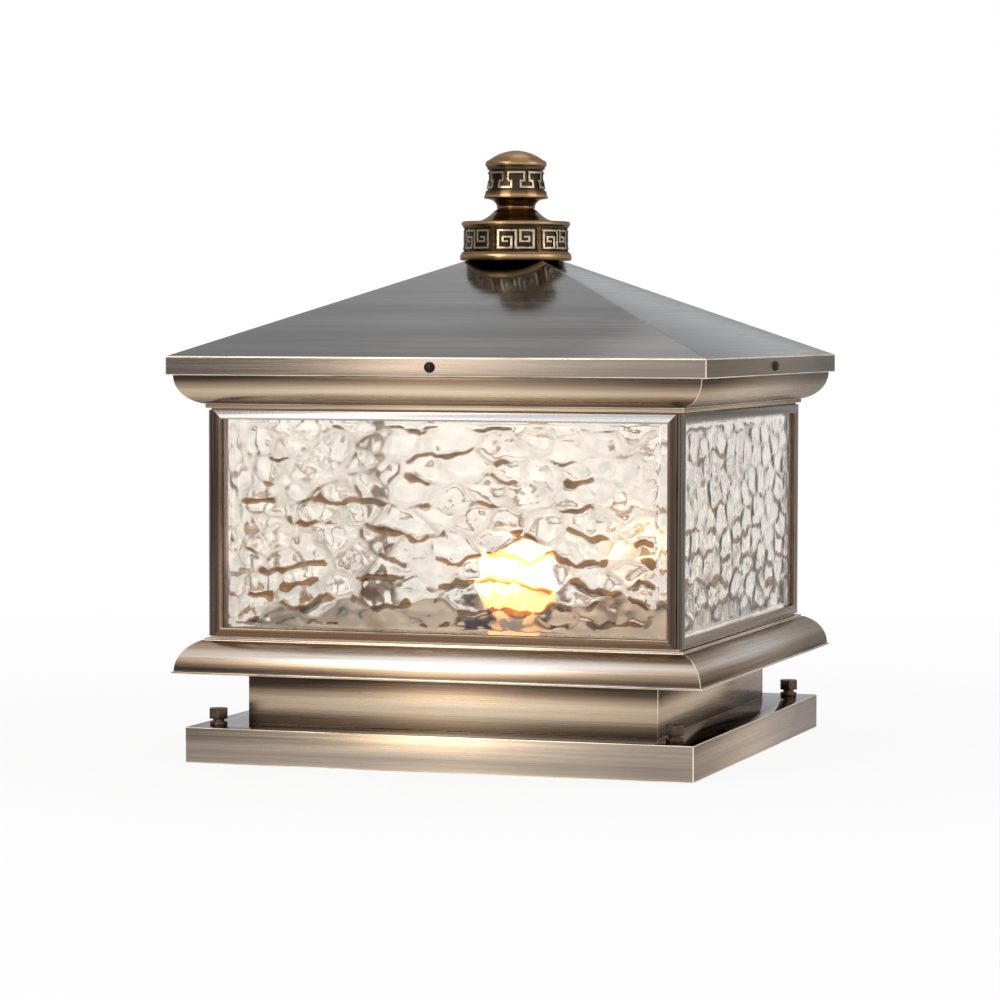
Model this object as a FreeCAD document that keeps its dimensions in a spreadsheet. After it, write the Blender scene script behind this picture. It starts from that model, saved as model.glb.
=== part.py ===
import FreeCAD, Part

import math
import operator
import os
import types

import Sketcher

# Pier mount post light: a square glazed lantern on a low boxed base, under a
# pyramid roof with a turned finial. Millimetres, +Z up, the front looks along -Y,
# and the origin is at the middle of the underside.

# Driving dimensions
SIZES = {
    # Base, gasket and mounting plate
    "base_margin": 26.4,
    "base_height": 19.4,
    "base_wall": 1.6,
    "base_lap": 7.1,
    "gasket_thickness": 1.5,
    "gasket_land": 5.5,
    "plate_thickness": 2.5,
    "plate_clearance": 0.6,
    "anchor_spacing": 140.0,
    "anchor_hole_radius": 4.5,
    "cable_hole_radius": 12.0,
    "grommet_bore_radius": 5.0,
    "grommet_flange": 3.0,
    "grommet_flange_thickness": 1.2,
    # Corner studs and their cap nuts
    "stud_radius": 2.5,
    "stud_hole_clearance": 0.5,
    "nut_across_flats": 9.5,
    "nut_height": 5.6,
    "nut_flange_radius": 4.8,
    "nut_flange_height": 2.2,
    "nut_waist_radius": 3.15,
    "nut_waist_height": 1.7,
    "nut_top_wall": 1.5,
    "nut_chamfer": 0.6,
    "thread_clearance": 0.05,
    # Neck
    "neck_inset": 17.1,
    "neck_wall": 1.6,
    "neck_height": 29.3,
    "neck_flange": 12.0,
    "soffit_overhang": 0.95,
    "soffit_thickness": 1.2,
    # Lower moulding
    "skirt_reveal": 1.4,
    "skirt_run": 11.5,
    "skirt_rise": 16.2,
    "skirt_fillet_inset": 1.3,
    "skirt_fillet_height": 1.3,
    "moulding_wall": 1.6,
    "web_depth": 24.0,
    # Glazed body
    "body_width": 265.6,
    "body_height": 122.5,
    "sheet_thickness": 1.0,
    "sheet_inset": 1.8,
    "head_ring_depth": 12.0,
    "corner_chamfer": 2.4,
    "corner_groove": 0.7,
    "lip_width": 5.0,
    "lip_thickness": 1.5,
    "lip_bevel": 0.7,
    "glass_thickness": 3.0,
    "seal_thickness": 0.8,
    "seal_width": 1.1,
    "pane_lap": 1.3,
    "pane_edge_gap": 0.3,
    "post_bar": 4.0,
    # Upper moulding
    "cornice_reveal": 0.8,
    "cornice_run": 12.7,
    "cornice_rise": 15.5,
    "cornice_fillet_inset": 0.7,
    "cornice_fillet_height": 2.4,
    "upstand_inset": 6.0,
    "upstand_height": 9.4,
    "upstand_flange": 8.0,
    # Roof
    "roof_overhang": 3.0,
    "fascia_height": 10.1,
    "roof_rise": 62.1,
    "roof_wall": 1.6,
    "roof_cap_width": 20.0,
    "roof_cap_thickness": 3.0,
    "roof_seal_width": 6.0,
    "roof_seal_gap": 0.15,
    # Roof screws
    "roof_screw_radius": 1.5,
    "roof_screw_head_radius": 2.9,
    "roof_screw_head_height": 2.0,
    "roof_screw_tip_gap": 0.1,
    "clinch_nut_radius": 3.5,
    "clinch_nut_length": 4.0,
    # Finial
    "finial_rim_radius": 31.2,
    "finial_rim_gap": 0.1,
    "drum_height": 22.2,
    "drum_wall": 3.4,
    "drum_top_thickness": 4.4,
    "boss_radius": 8.0,
    "knob_height": 39.7,
    "knob_radius": 18.1,
    "rod_radius": 3.0,
    "rod_clearance": 0.3,
    "rod_tail": 10.5,
    "rod_in_knob": 24.0,
    "finial_seal_thickness": 1.0,
    "finial_washer_radius": 9.0,
    "finial_washer_thickness": 1.5,
    "finial_nut_across_flats": 10.0,
    "finial_nut_height": 5.0,
    # Small machine screws and nuts
    "screw_radius": 2.0,
    "screw_head_radius": 3.8,
    "screw_head_height": 2.2,
    "screw_clearance": 0.25,
    "screw_nut_across_flats": 7.0,
    "screw_nut_height": 3.2,
    "post_screw_radius": 1.25,
    "post_screw_length": 10.0,
    "post_screw_head_radius": 2.5,
    "post_screw_head_height": 2.0,
    # Lampholder and its bracket
    "strap_width": 30.0,
    "strap_thickness": 2.0,
    "holder_radius": 20.0,
    "holder_lip": 1.7,
    "holder_floor": 10.0,
    "holder_rim_radius": 21.5,
    "holder_rim_height": 6.0,
    "holder_foot_radius": 15.0,
    "shell_wall": 0.5,
    "contact_height": 4.0,
    "contact_width": 7.0,
    "nipple_radius": 5.0,
    "nipple_bore_radius": 3.5,
    "nipple_tail": 8.0,
    "locknut_across_flats": 14.0,
    "locknut_height": 3.0,
    "lamp_way": 13.5,
    # Lamp
    "lamp_gap": 0.2,
    "cap_radius": 13.25,
    "cap_height": 26.5,
    "collar_height": 6.0,
    "bulb_radius": 22.5,
    "bulb_wall": 1.0,
    "led_board_thickness": 1.6,
    # Wiring
    "terminal_length": 24.0,
    "terminal_width": 18.0,
    "terminal_height": 12.0,
    "terminal_hole_radius": 1.6,
    "terminal_hole_depth": 6.0,
    "terminal_screw_radius": 1.2,
    "terminal_screw_depth": 3.0,
    "lead_radius": 1.1,
    "lead_bend_radius": 5.0,
    "lead_spacing": 6.0,
    "lead_run": 6.0,
}

# Shares, chosen by hand
HEX_CORNER_SHARE = 0.57735
NUT_TURN_SHARE = -0.13
NUT_PLACE_SHARE = 0.475
OVOLO_BULGE_SHARE = 0.158
CORNICE_BULGE_SHARE = 0.179
# The drum under the knob: (share of the rim's radius, share of the drum's height, bulge)
DRUM_SHARES = (
    (1.0, 0.0, 0),
    (1.005, 0.10, 0),
    (0.965, 0.235, 0),
    (0.939, 0.46, 0),
    (0.945, 0.87, 0),
    (0.965, 0.96, 0),
    (0.955, 0.985, 0),
    (0.72, 1.0, 0),
)
# The knob: (share of its radius, share of its height, bulge of the stretch that follows)
KNOB_SHARES = (
    (1.166, 0.0, -0.088),
    (0.663, 0.149, 0),
    (0.564, 0.179, 0.12),
    (0.768, 0.305, 0),
    (1.0, 0.335, 0.053),
    (0.878, 0.708, 0),
    (0.939, 0.801, 0),
)
# The lamp's glass, in shares of its radius: the neck across, the shoulder across and up
# from the collar, and the middle up from the collar
BULB_NECK_SHARE = 0.62
BULB_SHOULDER_SHARES = (0.934, 0.70)
BULB_CENTRE_SHARE = 1.06
CAP_ROUND_SHARE = 0.25
SCREW_DOME_BULGE_SHARE = 0.2


class Size:
    """A number together with the formula that the document keeps for it."""

    def __init__(self, number, formula):
        self.number = number
        self.formula = formula

    def __add__(self, other):
        return worked_out(self, "+", other, operator.add)

    def __radd__(self, other):
        return worked_out(other, "+", self, operator.add)

    def __sub__(self, other):
        return worked_out(self, "-", other, operator.sub)

    def __rsub__(self, other):
        return worked_out(other, "-", self, operator.sub)

    def __mul__(self, other):
        return worked_out(self, "*", other, operator.mul)

    def __rmul__(self, other):
        return worked_out(other, "*", self, operator.mul)

    def __truediv__(self, other):
        return worked_out(self, "/", other, operator.truediv)

    def __neg__(self):
        return Size(-self.number, "(-%s)" % self.formula)


DOME = "dome"


def number_of(value):
    return value.number if isinstance(value, Size) else float(value)


def formula_of(value):
    return value.formula if isinstance(value, Size) else repr(value)


def worked_out(left, sign, right, work):
    """The Size that an operator makes of two values."""
    formula = "(%s %s %s)" % (formula_of(left), sign, formula_of(right))
    return Size(work(number_of(left), number_of(right)), formula)


def distance(run, rise):
    """The straight distance that a run and a rise make."""
    along, up = formula_of(run), formula_of(rise)
    formula = "sqrt(%s * %s + %s * %s)" % (along, along, up, up)
    return Size(math.hypot(number_of(run), number_of(rise)), formula)


def leg(slope, run):
    """The other leg of the right triangle with this slope and run."""
    formula = "sqrt(%s * %s - %s * %s)" % (slope.formula, slope.formula, run.formula, run.formula)
    return Size(math.sqrt(slope.number ** 2 - run.number ** 2), formula)


# Document and sheet
doc = FreeCAD.newDocument("post_light")
sheet = doc.addObject("Spreadsheet::Sheet", "sizes")
for row, (alias, number) in enumerate(SIZES.items(), start=1):
    sheet.set("A%d" % row, alias)
    sheet.set("B%d" % row, str(number))
    sheet.setAlias("B%d" % row, alias)
doc.recompute()
size = types.SimpleNamespace(**{alias: Size(number, "sizes." + alias) for alias, number in SIZES.items()})

UP = FreeCAD.Vector(0, 0, 1)
DOWN = FreeCAD.Vector(0, 0, -1)
RIGHT = FreeCAD.Vector(1, 0, 0)
LEFT = FreeCAD.Vector(-1, 0, 0)
FRONT = FreeCAD.Vector(0, -1, 0)
BACK = FreeCAD.Vector(0, 1, 0)
QUARTER_TURN = 90
SIDES = ("front", "right", "back", "left")
CORNERS = {"front_right": (1, -1), "back_right": (1, 1), "back_left": (-1, 1), "front_left": (-1, -1)}

pieces = {}


# Drawing helpers
def keep(name, thing):
    """Gives a finished sub-part its own label and puts it on the list to export."""
    thing.Label = name
    pieces[name] = thing
    return thing


def bind(thing, path, value):
    thing.setExpression(path, formula_of(value))


def place(thing, x=0, y=0, z=0, along=UP, turn=0):
    """Puts a piece at a place, pointing along a direction or turned about the vertical."""
    rotation = FreeCAD.Rotation(UP, along) if turn == 0 else FreeCAD.Rotation(UP, turn * QUARTER_TURN)
    thing.Placement = FreeCAD.Placement(FreeCAD.Vector(), rotation)
    for letter, value in zip("xyz", (x, y, z)):
        if number_of(value) != 0:
            bind(thing, ".Placement.Base." + letter, value)
    return thing


def new_body(name):
    return doc.addObject("PartDesign::Body", name)


def new_sketch(body, name, role, offset=0):
    """A sketch on one of the body's own origin planes, moved along that plane's normal."""
    plane = [feature for feature in body.Origin.OriginFeatures if feature.Role == role][0]
    sketch = body.newObject("Sketcher::SketchObject", name)
    sketch.AttachmentSupport = [(plane, "")]
    sketch.MapMode = "FlatFace"
    if number_of(offset) != 0:
        bind(sketch, ".AttachmentOffset.Base.z", offset)
    return sketch


def fix_coordinate(sketch, kind, axis, corner, value):
    """Holds one coordinate of a corner at a size, or on the axis where the size is zero."""
    if number_of(value) == 0:
        sketch.addConstraint(Sketcher.Constraint("PointOnObject", corner[0], corner[1], axis))
        return
    index = sketch.addConstraint(Sketcher.Constraint(kind, -1, 1, corner[0], corner[1], number_of(value)))
    bind(sketch, "Constraints[%d]" % index, value)


def draw_stretch(sketch, start, end, bulge):
    """One line, dome or arc that swells by a share of its chord; gives its start and end corners."""
    first, last = (FreeCAD.Vector(number_of(point[0]), number_of(point[1]), 0) for point in (start, end))
    if bulge == 0:
        line = sketch.addGeometry(Part.LineSegment(first, last))
        return (line, 1), (line, 2)
    if bulge == DOME:
        return draw_dome(sketch, first, last)
    swell = abs(bulge)
    chord = distance(end[0] - start[0], end[1] - start[1])
    radius = chord * (1 / (8 * swell) + swell / 2)
    across = last - first
    outwards = FreeCAD.Vector(-across.y, across.x, 0).normalize() * math.copysign(1, bulge)
    centre = (first + last) / 2 - outwards * (radius.number - swell * chord.number)
    clockwise = bulge > 0
    begin, finish = ((last, first) if clockwise else (first, last))
    angles = [math.atan2(corner.y - centre.y, corner.x - centre.x) for corner in (begin, finish)]
    if angles[1] < angles[0]:
        angles[1] += 2 * math.pi
    arc = sketch.addGeometry(Part.ArcOfCircle(Part.Circle(centre, UP, radius.number), *angles))
    index = sketch.addConstraint(Sketcher.Constraint("Radius", arc, radius.number))
    bind(sketch, "Constraints[%d]" % index, radius)
    return ((arc, 2), (arc, 1)) if clockwise else ((arc, 1), (arc, 2))


def draw_dome(sketch, first, last):
    """An arc to or from the axis, with its centre held on the axis."""
    lift = (first.x ** 2 + first.y ** 2 - last.x ** 2 - last.y ** 2) / (2 * (first.y - last.y))
    centre = FreeCAD.Vector(0, lift, 0)
    outer, top = (last, first) if first.x < last.x else (first, last)
    angles = [math.atan2(corner.y - lift, corner.x) for corner in (outer, top)]
    arc = sketch.addGeometry(Part.ArcOfCircle(Part.Circle(centre, UP, (outer - centre).Length), *angles))
    sketch.addConstraint(Sketcher.Constraint("PointOnObject", arc, 3, -2))
    return ((arc, 2), (arc, 1)) if top == first else ((arc, 1), (arc, 2))


def draw_outline(sketch, points, closed=True):
    """Joins points, each (x, y) or (x, y, bulge to the next), into one held outline."""
    points = [point if len(point) == 3 else (*point, 0) for point in points]
    followers = points[1:] + (points[:1] if closed else [])
    stretches = [draw_stretch(sketch, start, end, start[2]) for start, end in zip(points, followers)]
    corners = [stretch[0] for stretch in stretches]
    if not closed:
        corners.append(stretches[-1][1])
    for index, stretch in enumerate(stretches):
        if closed or index < len(stretches) - 1:
            following = corners[(index + 1) % len(corners)]
            sketch.addConstraint(Sketcher.Constraint("Coincident", *stretch[1], *following))
    for corner, point in zip(corners, points):
        fix_coordinate(sketch, "DistanceX", -2, corner, point[0])
        fix_coordinate(sketch, "DistanceY", -1, corner, point[1])


def turned_piece(name, points):
    """A piece turned about the vertical axis from its half outline."""
    body = new_body(name)
    sketch = new_sketch(body, name + "_outline", "XZ_Plane")
    draw_outline(sketch, points)
    turning = body.newObject("PartDesign::Revolution", name + "_turning")
    turning.Profile = sketch
    turning.ReferenceAxis = (sketch, ["V_Axis"])
    return body


def square_moulding(name, spine_half, points):
    """A square ring with mitred corners, from its section on the +X side."""
    body = new_body(name)
    spine = new_sketch(body, name + "_spine", "XY_Plane")
    half = spine_half
    draw_outline(spine, [(half, 0), (half, half), (-half, half), (-half, -half), (half, -half)])
    section = new_sketch(body, name + "_section", "XZ_Plane")
    draw_outline(section, points)
    return swept(body, name, section, spine)


def mitred_strips(name, ring, half, low, high):
    """The four strips, mitred at the corners, that a square ring is brazed together from."""
    strips = []
    for turn, side in enumerate(SIDES):
        label = "%s_%s" % (name, side)
        wedge = padded(label + "_wedge", [(0, 0), (-half, -half), (half, -half)], low, high, turn)
        strips.append(common_to(label, ring, wedge))
    return strips


def picture_frame(name, half_width, low, high, points, side):
    """A mitred rectangular frame that stands on one side of the body, from its section."""
    body = new_body(name)
    spine = new_sketch(body, name + "_spine", "XZ_Plane")
    middle = (low + high) / 2
    corners = [(half_width, high), (-half_width, high), (-half_width, low), (half_width, low)]
    draw_outline(spine, [(half_width, middle)] + corners)
    section = new_sketch(body, name + "_section", "XY_Plane", middle)
    draw_outline(section, points)
    return place(swept(body, name, section, spine), turn=side)


def swept(body, name, section, spine):
    sweep = body.newObject("PartDesign::AdditivePipe", name + "_sweep")
    sweep.Profile = section
    sweep.Spine = (spine, [])
    sweep.Transition = "Right corner"
    return body


def padded(name, points, low, high, turn=0):
    """A prism on a plan outline, between two heights."""
    body = new_body(name)
    sketch = new_sketch(body, name + "_plan", "XY_Plane", low)
    draw_outline(sketch, points)
    pad = body.newObject("PartDesign::Pad", name + "_pad")
    pad.Profile = sketch
    bind(pad, "Length", high - low)
    return place(body, turn=turn)


def rectangle(x_low, x_high, y_low, y_high):
    return [(x_low, y_low), (x_high, y_low), (x_high, y_high), (x_low, y_high)]


def square_plate(name, half, low, high):
    """A flat square plate between two heights."""
    return padded(name, rectangle(-half, half, -half, half), low, high)


def cylinder(name, radius, length, x=0, y=0, z=0, along=UP):
    thing = doc.addObject("Part::Cylinder", name)
    bind(thing, "Radius", radius)
    bind(thing, "Height", length)
    return place(thing, x, y, z, along)


def hexagon(name, across_flats, height, x=0, y=0, z=0):
    thing = doc.addObject("Part::Prism", name)
    thing.Polygon = 6
    bind(thing, "Circumradius", across_flats * HEX_CORNER_SHARE)
    bind(thing, "Height", height)
    return place(thing, x, y, z)


def group(name, things):
    thing = doc.addObject("Part::Compound", name)
    thing.Links = list(things)
    return thing


def fused(name, things):
    thing = doc.addObject("Part::MultiFuse", name)
    thing.Shapes = list(things)
    thing.Refine = True
    return thing


def cut_by(name, base, tools):
    """A base with one or more tools cut out of it."""
    thing = doc.addObject("Part::Cut", name)
    thing.Base = base
    thing.Tool = tools[0] if len(tools) == 1 else group(name + "_tools", tools)
    thing.Refine = True
    return thing


def common_to(name, base, tool):
    thing = doc.addObject("Part::Common", name)
    thing.Base = base
    thing.Tool = tool
    return thing


def at_corners(half):
    """The four corner places of a square pattern."""
    return [(x * half, y * half) for x, y in CORNERS.values()]


def hex_nut(name, across_flats, height, bore_radius, x, y, z):
    blank = hexagon(name + "_blank", across_flats, height, x, y, z)
    return cut_by(name, blank, [cylinder(name + "_bore", bore_radius, height, x, y, z)])


def pan_screw(name, radius, length, head_radius, head_height, x, y, z, along):
    """A pan head screw: its shank runs along a direction from the seat of its head."""
    screw = turned_piece(name, [
        (0, -head_height, 0),
        (head_radius / 2, -head_height, -SCREW_DOME_BULGE_SHARE),
        (head_radius, 0),
        (radius, 0),
        (radius, length),
        (0, length),
    ])
    return place(screw, x, y, z, along)


# Heights
plate_low = size.gasket_thickness
plate_high = plate_low + size.plate_thickness
base_top = size.base_height
soffit_low = base_top + size.neck_height
skirt_low = soffit_low + size.soffit_thickness
skirt_shoulder = skirt_low + size.skirt_rise
skirt_top = skirt_shoulder + size.skirt_fillet_height
body_low = skirt_top + size.sheet_thickness
body_high = body_low + size.body_height
cornice_low = body_high + size.sheet_thickness
cornice_shoulder = cornice_low + size.cornice_fillet_height
cornice_top = cornice_shoulder + size.cornice_rise
upstand_top = cornice_top + size.upstand_height
eaves_top = cornice_top + size.fascia_height

# Half widths
body_half = size.body_width / 2
neck_half = body_half - size.neck_inset
base_half = neck_half + size.base_margin
plate_half = base_half - size.base_wall - size.plate_clearance
neck_inner = neck_half - size.neck_wall
neck_flange_edge = neck_inner - size.neck_flange
base_opening_half = neck_flange_edge - size.base_lap
nut_half = neck_half + size.base_margin * NUT_PLACE_SHARE
skirt_fillet_half = body_half + size.skirt_reveal
skirt_shoulder_half = skirt_fillet_half + size.skirt_fillet_inset
skirt_half = skirt_shoulder_half + size.skirt_run
soffit_half = skirt_half + size.soffit_overhang
sheet_half = body_half - size.sheet_inset
cornice_fillet_half = body_half + size.cornice_reveal
cornice_shoulder_half = cornice_fillet_half + size.cornice_fillet_inset
cornice_half = cornice_shoulder_half + size.cornice_run
upstand_half = cornice_half - size.upstand_inset
roof_half = cornice_half + size.roof_overhang
web_edge = body_half - size.web_depth
fixing_half = neck_inner - size.neck_flange / 2


# Base: gasket, mounting plate, studs, grommet, box
def make_base():
    anchors = [
        cylinder("gasket_anchor_%d" % index, size.anchor_hole_radius, plate_high, x, y)
        for index, (x, y) in enumerate(at_corners(size.anchor_spacing / 2))
    ]
    gasket_blank = square_plate("gasket_blank", plate_half, 0, plate_low)
    window_half = size.anchor_spacing / 2 - size.anchor_hole_radius - size.gasket_land
    gasket_window = square_plate("gasket_window", window_half, 0, plate_low)
    keep("pier_gasket", cut_by("pier_gasket", gasket_blank, [gasket_window] + anchors))

    plate_blank = square_plate("plate_blank", plate_half, plate_low, plate_high)
    plate_holes = [
        cylinder("plate_anchor_%d" % index, size.anchor_hole_radius, plate_high, x, y)
        for index, (x, y) in enumerate(at_corners(size.anchor_spacing / 2))
    ]
    cable_hole = cylinder("cable_hole", size.cable_hole_radius, plate_high)
    keep("mounting_plate", cut_by("mounting_plate", plate_blank, plate_holes + [cable_hole]))

    groove_radius = size.cable_hole_radius
    flange_radius = groove_radius + size.grommet_flange
    flange_low = plate_low - size.grommet_flange_thickness
    flange_high = plate_high + size.grommet_flange_thickness
    keep("cable_grommet", turned_piece("cable_grommet", [
        (size.grommet_bore_radius, flange_low),
        (flange_radius, flange_low),
        (flange_radius, plate_low),
        (groove_radius, plate_low),
        (groove_radius, plate_high),
        (flange_radius, plate_high),
        (flange_radius, flange_high),
        (size.grommet_bore_radius, flange_high),
    ]))

    studs = [
        cylinder("stud_%d" % index, size.stud_radius, base_top + stud_reach() - plate_high, x, y, plate_high)
        for index, (x, y) in enumerate(at_corners(nut_half))
    ]
    keep("mounting_studs", group("mounting_studs", studs))

    box_low = base_top - size.base_wall
    box = square_moulding("base_shell", base_opening_half, [
        (base_opening_half, box_low),
        (base_half - size.base_wall, box_low),
        (base_half - size.base_wall, 0),
        (base_half, 0),
        (base_half, base_top),
        (base_opening_half, base_top),
    ])
    stud_holes = [
        cylinder("stud_hole_%d" % index, size.stud_radius + size.stud_hole_clearance, base_top, x, y)
        for index, (x, y) in enumerate(at_corners(nut_half))
    ]
    keep("base_box", cut_by("base_box", box, stud_holes + fixing_holes("base_fixing", box_low)))


def stud_reach():
    """How far a stud stands up out of the base box, into its cap nut."""
    return size.nut_flange_height + size.nut_waist_height + size.nut_height - size.nut_top_wall


def make_cap_nuts():
    """Four cap nuts, each a chamfered hexagon on a narrow waist and a round flange."""
    flange_top = base_top + size.nut_flange_height
    waist_top = flange_top + size.nut_waist_height
    nut_top = waist_top + size.nut_height
    corner_radius = size.nut_across_flats * HEX_CORNER_SHARE
    bore_radius = size.stud_radius + size.thread_clearance
    bore_depth = stud_reach() + size.thread_clearance
    for name, (x_way, y_way) in CORNERS.items():
        x = x_way * nut_half
        y = y_way * nut_half
        blank = hexagon("nut_blank_" + name, size.nut_across_flats, size.nut_height, x, y, waist_top)
        place(blank, x, y, waist_top, turn=NUT_TURN_SHARE)
        crown = turned_piece("nut_crown_" + name, [
            (0, waist_top),
            (corner_radius, waist_top),
            (corner_radius, nut_top - size.nut_chamfer),
            (corner_radius - size.nut_chamfer, nut_top),
            (0, nut_top),
        ])
        head = common_to("nut_head_" + name, blank, place(crown, x, y))
        foot = turned_piece("nut_foot_" + name, [
            (0, base_top),
            (size.nut_flange_radius, base_top),
            (size.nut_flange_radius, flange_top),
            (size.nut_waist_radius, flange_top),
            (size.nut_waist_radius, waist_top),
            (0, waist_top),
        ])
        whole = fused("nut_whole_" + name, [head, place(foot, x, y)])
        bore = cylinder("nut_bore_" + name, bore_radius, bore_depth, x, y, base_top)
        keep("cap_nut_" + name, cut_by("cap_nut_" + name, whole, [bore]))


# Neck and its fixings
def fixing_places():
    """Where the neck and the lampholder strap are screwed to the base."""
    return at_corners(fixing_half), [(fixing_half, 0), (-fixing_half, 0)]


def fixing_holes(name, low):
    corners, strap_ends = fixing_places()
    depth = size.base_wall + size.neck_wall
    return [
        cylinder("%s_%d" % (name, index), size.screw_radius + size.screw_clearance, depth, x, y, low)
        for index, (x, y) in enumerate(corners + strap_ends)
    ]


def make_neck():
    flange_top = base_top + size.neck_wall
    walls = square_moulding("neck_walls", neck_inner, [
        (neck_inner, base_top),
        (neck_half, base_top),
        (neck_half, soffit_low),
        (neck_inner, soffit_low),
    ])
    flange = square_moulding("neck_flange", neck_flange_edge, [
        (neck_flange_edge, base_top),
        (neck_inner, base_top),
        (neck_inner, flange_top),
        (neck_flange_edge, flange_top),
    ])
    drilled = cut_by("neck_flange_drilled", flange, fixing_holes("neck_fixing", base_top - size.base_wall))
    wall_strips = mitred_strips("neck_wall", walls, neck_half, base_top, soffit_low)
    flange_strips = mitred_strips("neck_foot", drilled, neck_half, base_top, flange_top)
    keep("neck", group("neck", wall_strips + flange_strips))

    plate = square_moulding("soffit_blank", neck_inner, [
        (neck_inner, soffit_low),
        (soffit_half, soffit_low),
        (soffit_half, skirt_low),
        (neck_inner, skirt_low),
    ])
    hole_radius = size.screw_radius + size.screw_clearance
    bolt_holes = [
        cylinder("soffit_hole_%d" % index, hole_radius, size.soffit_thickness, x, y, soffit_low)
        for index, (x, y) in enumerate(skirt_bolt_places())
    ]
    drilled = cut_by("soffit_drilled", plate, bolt_holes)
    keep("soffit_plate", group("soffit_plate", mitred_strips(
        "soffit", drilled, soffit_half, soffit_low, skirt_low)))

    corners, strap_ends = fixing_places()
    nut_low = base_top - size.base_wall - size.screw_nut_height
    neck_screws = []
    neck_nuts = []
    for index, (x, y) in enumerate(corners + strap_ends):
        seat = flange_top if index < len(corners) else flange_top + size.strap_thickness
        neck_screws.append(pan_screw(
            "fixing_screw_%d" % index, size.screw_radius, seat - nut_low,
            size.screw_head_radius, size.screw_head_height, x, y, seat, DOWN))
        neck_nuts.append(hex_nut(
            "fixing_nut_%d" % index, size.screw_nut_across_flats, size.screw_nut_height,
            size.screw_radius, x, y, nut_low))
    keep("neck_screws", group("neck_screws", neck_screws))
    keep("neck_nuts", group("neck_nuts", neck_nuts))


# Lower moulding and floor
def skirt_bolt_places():
    """The four bolts that draw the lower moulding down on the soffit, at the middle of each side."""
    middle = (neck_half + skirt_shoulder_half) / 2
    return [(middle, 0), (0, middle), (-middle, 0), (0, -middle)]


def post_screw_place():
    """The middle of the thick core of a corner post, the same along X and Y."""
    return (pane_half() + size.pane_edge_gap + body_half - size.lip_thickness) / 2


def make_skirt():
    wall = size.moulding_wall
    web_low = skirt_top - wall
    shell = square_moulding("skirt_shell", web_edge, [
        (web_edge, web_low),
        (skirt_fillet_half - wall, web_low),
        (skirt_half - wall, skirt_low),
        (skirt_half, skirt_low, -OVOLO_BULGE_SHARE),
        (skirt_shoulder_half, skirt_shoulder),
        (skirt_fillet_half, skirt_shoulder),
        (skirt_fillet_half, skirt_top),
        (web_edge, skirt_top),
    ])
    bolt_holes = [
        cylinder("skirt_bolt_hole_%d" % index, size.screw_radius, skirt_top - skirt_low, x, y, skirt_low)
        for index, (x, y) in enumerate(skirt_bolt_places())
    ]
    holes = bolt_holes + post_holes("skirt_post_hole", web_low)
    keep("skirt_moulding", cut_by("skirt_moulding", shell, holes))

    bolts = [
        pan_screw("skirt_bolt_%d" % index, size.screw_radius, skirt_top - soffit_low,
                  size.screw_head_radius, size.screw_head_height, x, y, soffit_low, UP)
        for index, (x, y) in enumerate(skirt_bolt_places())
    ]
    keep("skirt_bolts", group("skirt_bolts", bolts))

    tray = square_plate("tray_blank", sheet_half, skirt_top, body_low)
    lamp_hole = cylinder("tray_lamp_hole", size.bulb_radius + size.lamp_way, body_low)
    keep("floor_tray", cut_by("floor_tray", tray, [lamp_hole] + post_holes("tray_post_hole", web_low)))


def post_holes(name, low):
    """Holes for the screws that hold the corner posts, through a web and the sheet on it."""
    middle = post_screw_place()
    length = size.moulding_wall + size.sheet_thickness
    return [
        cylinder("%s_%d" % (name, index), size.post_screw_radius, length, x * middle, y * middle, low)
        for index, (x, y) in enumerate(CORNERS.values())
    ]


def post_screws(name, seat, along):
    middle = post_screw_place()
    return [
        pan_screw("%s_%d" % (name, index), size.post_screw_radius, size.post_screw_length,
                  size.post_screw_head_radius, size.post_screw_head_height,
                  x * middle, y * middle, seat, along)
        for index, (x, y) in enumerate(CORNERS.values())
    ]


# Glazed body
def opening_half():
    return body_half - size.corner_chamfer - size.corner_groove - size.lip_width


def pane_half():
    return opening_half() + size.pane_lap


def make_posts():
    """Each corner post: a chamfered nose, a thick core and a bar behind the glass."""
    nose = body_half - size.corner_chamfer
    core_out = body_half - size.lip_thickness
    core_in = pane_half() + size.pane_edge_gap
    bar_out = core_out - size.seal_thickness - size.glass_thickness
    bar_in = bar_out - size.post_bar
    plan = [
        (bar_in, bar_in), (bar_out, bar_in), (bar_out, core_in), (core_out, core_in), (core_out, nose),
        (body_half, nose), (nose, body_half), (nose, core_out), (core_in, core_out), (core_in, bar_out),
        (bar_in, bar_out),
    ]
    middle = post_screw_place()
    thread_depth = size.post_screw_length - size.moulding_wall - size.sheet_thickness
    for turn, corner in enumerate(("back_right", "back_left", "front_left", "front_right")):
        x_way, y_way = CORNERS[corner]
        blank = padded("post_blank_" + corner, plan, body_low, body_high, turn)
        holes = [
            cylinder("post_hole_%s_%s" % (end, corner), size.post_screw_radius, thread_depth,
                     x_way * middle, y_way * middle, low)
            for end, low in (("low", body_low), ("high", body_high - thread_depth))
        ]
        keep("corner_post_" + corner, cut_by("corner_post_" + corner, blank, holes))


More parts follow.
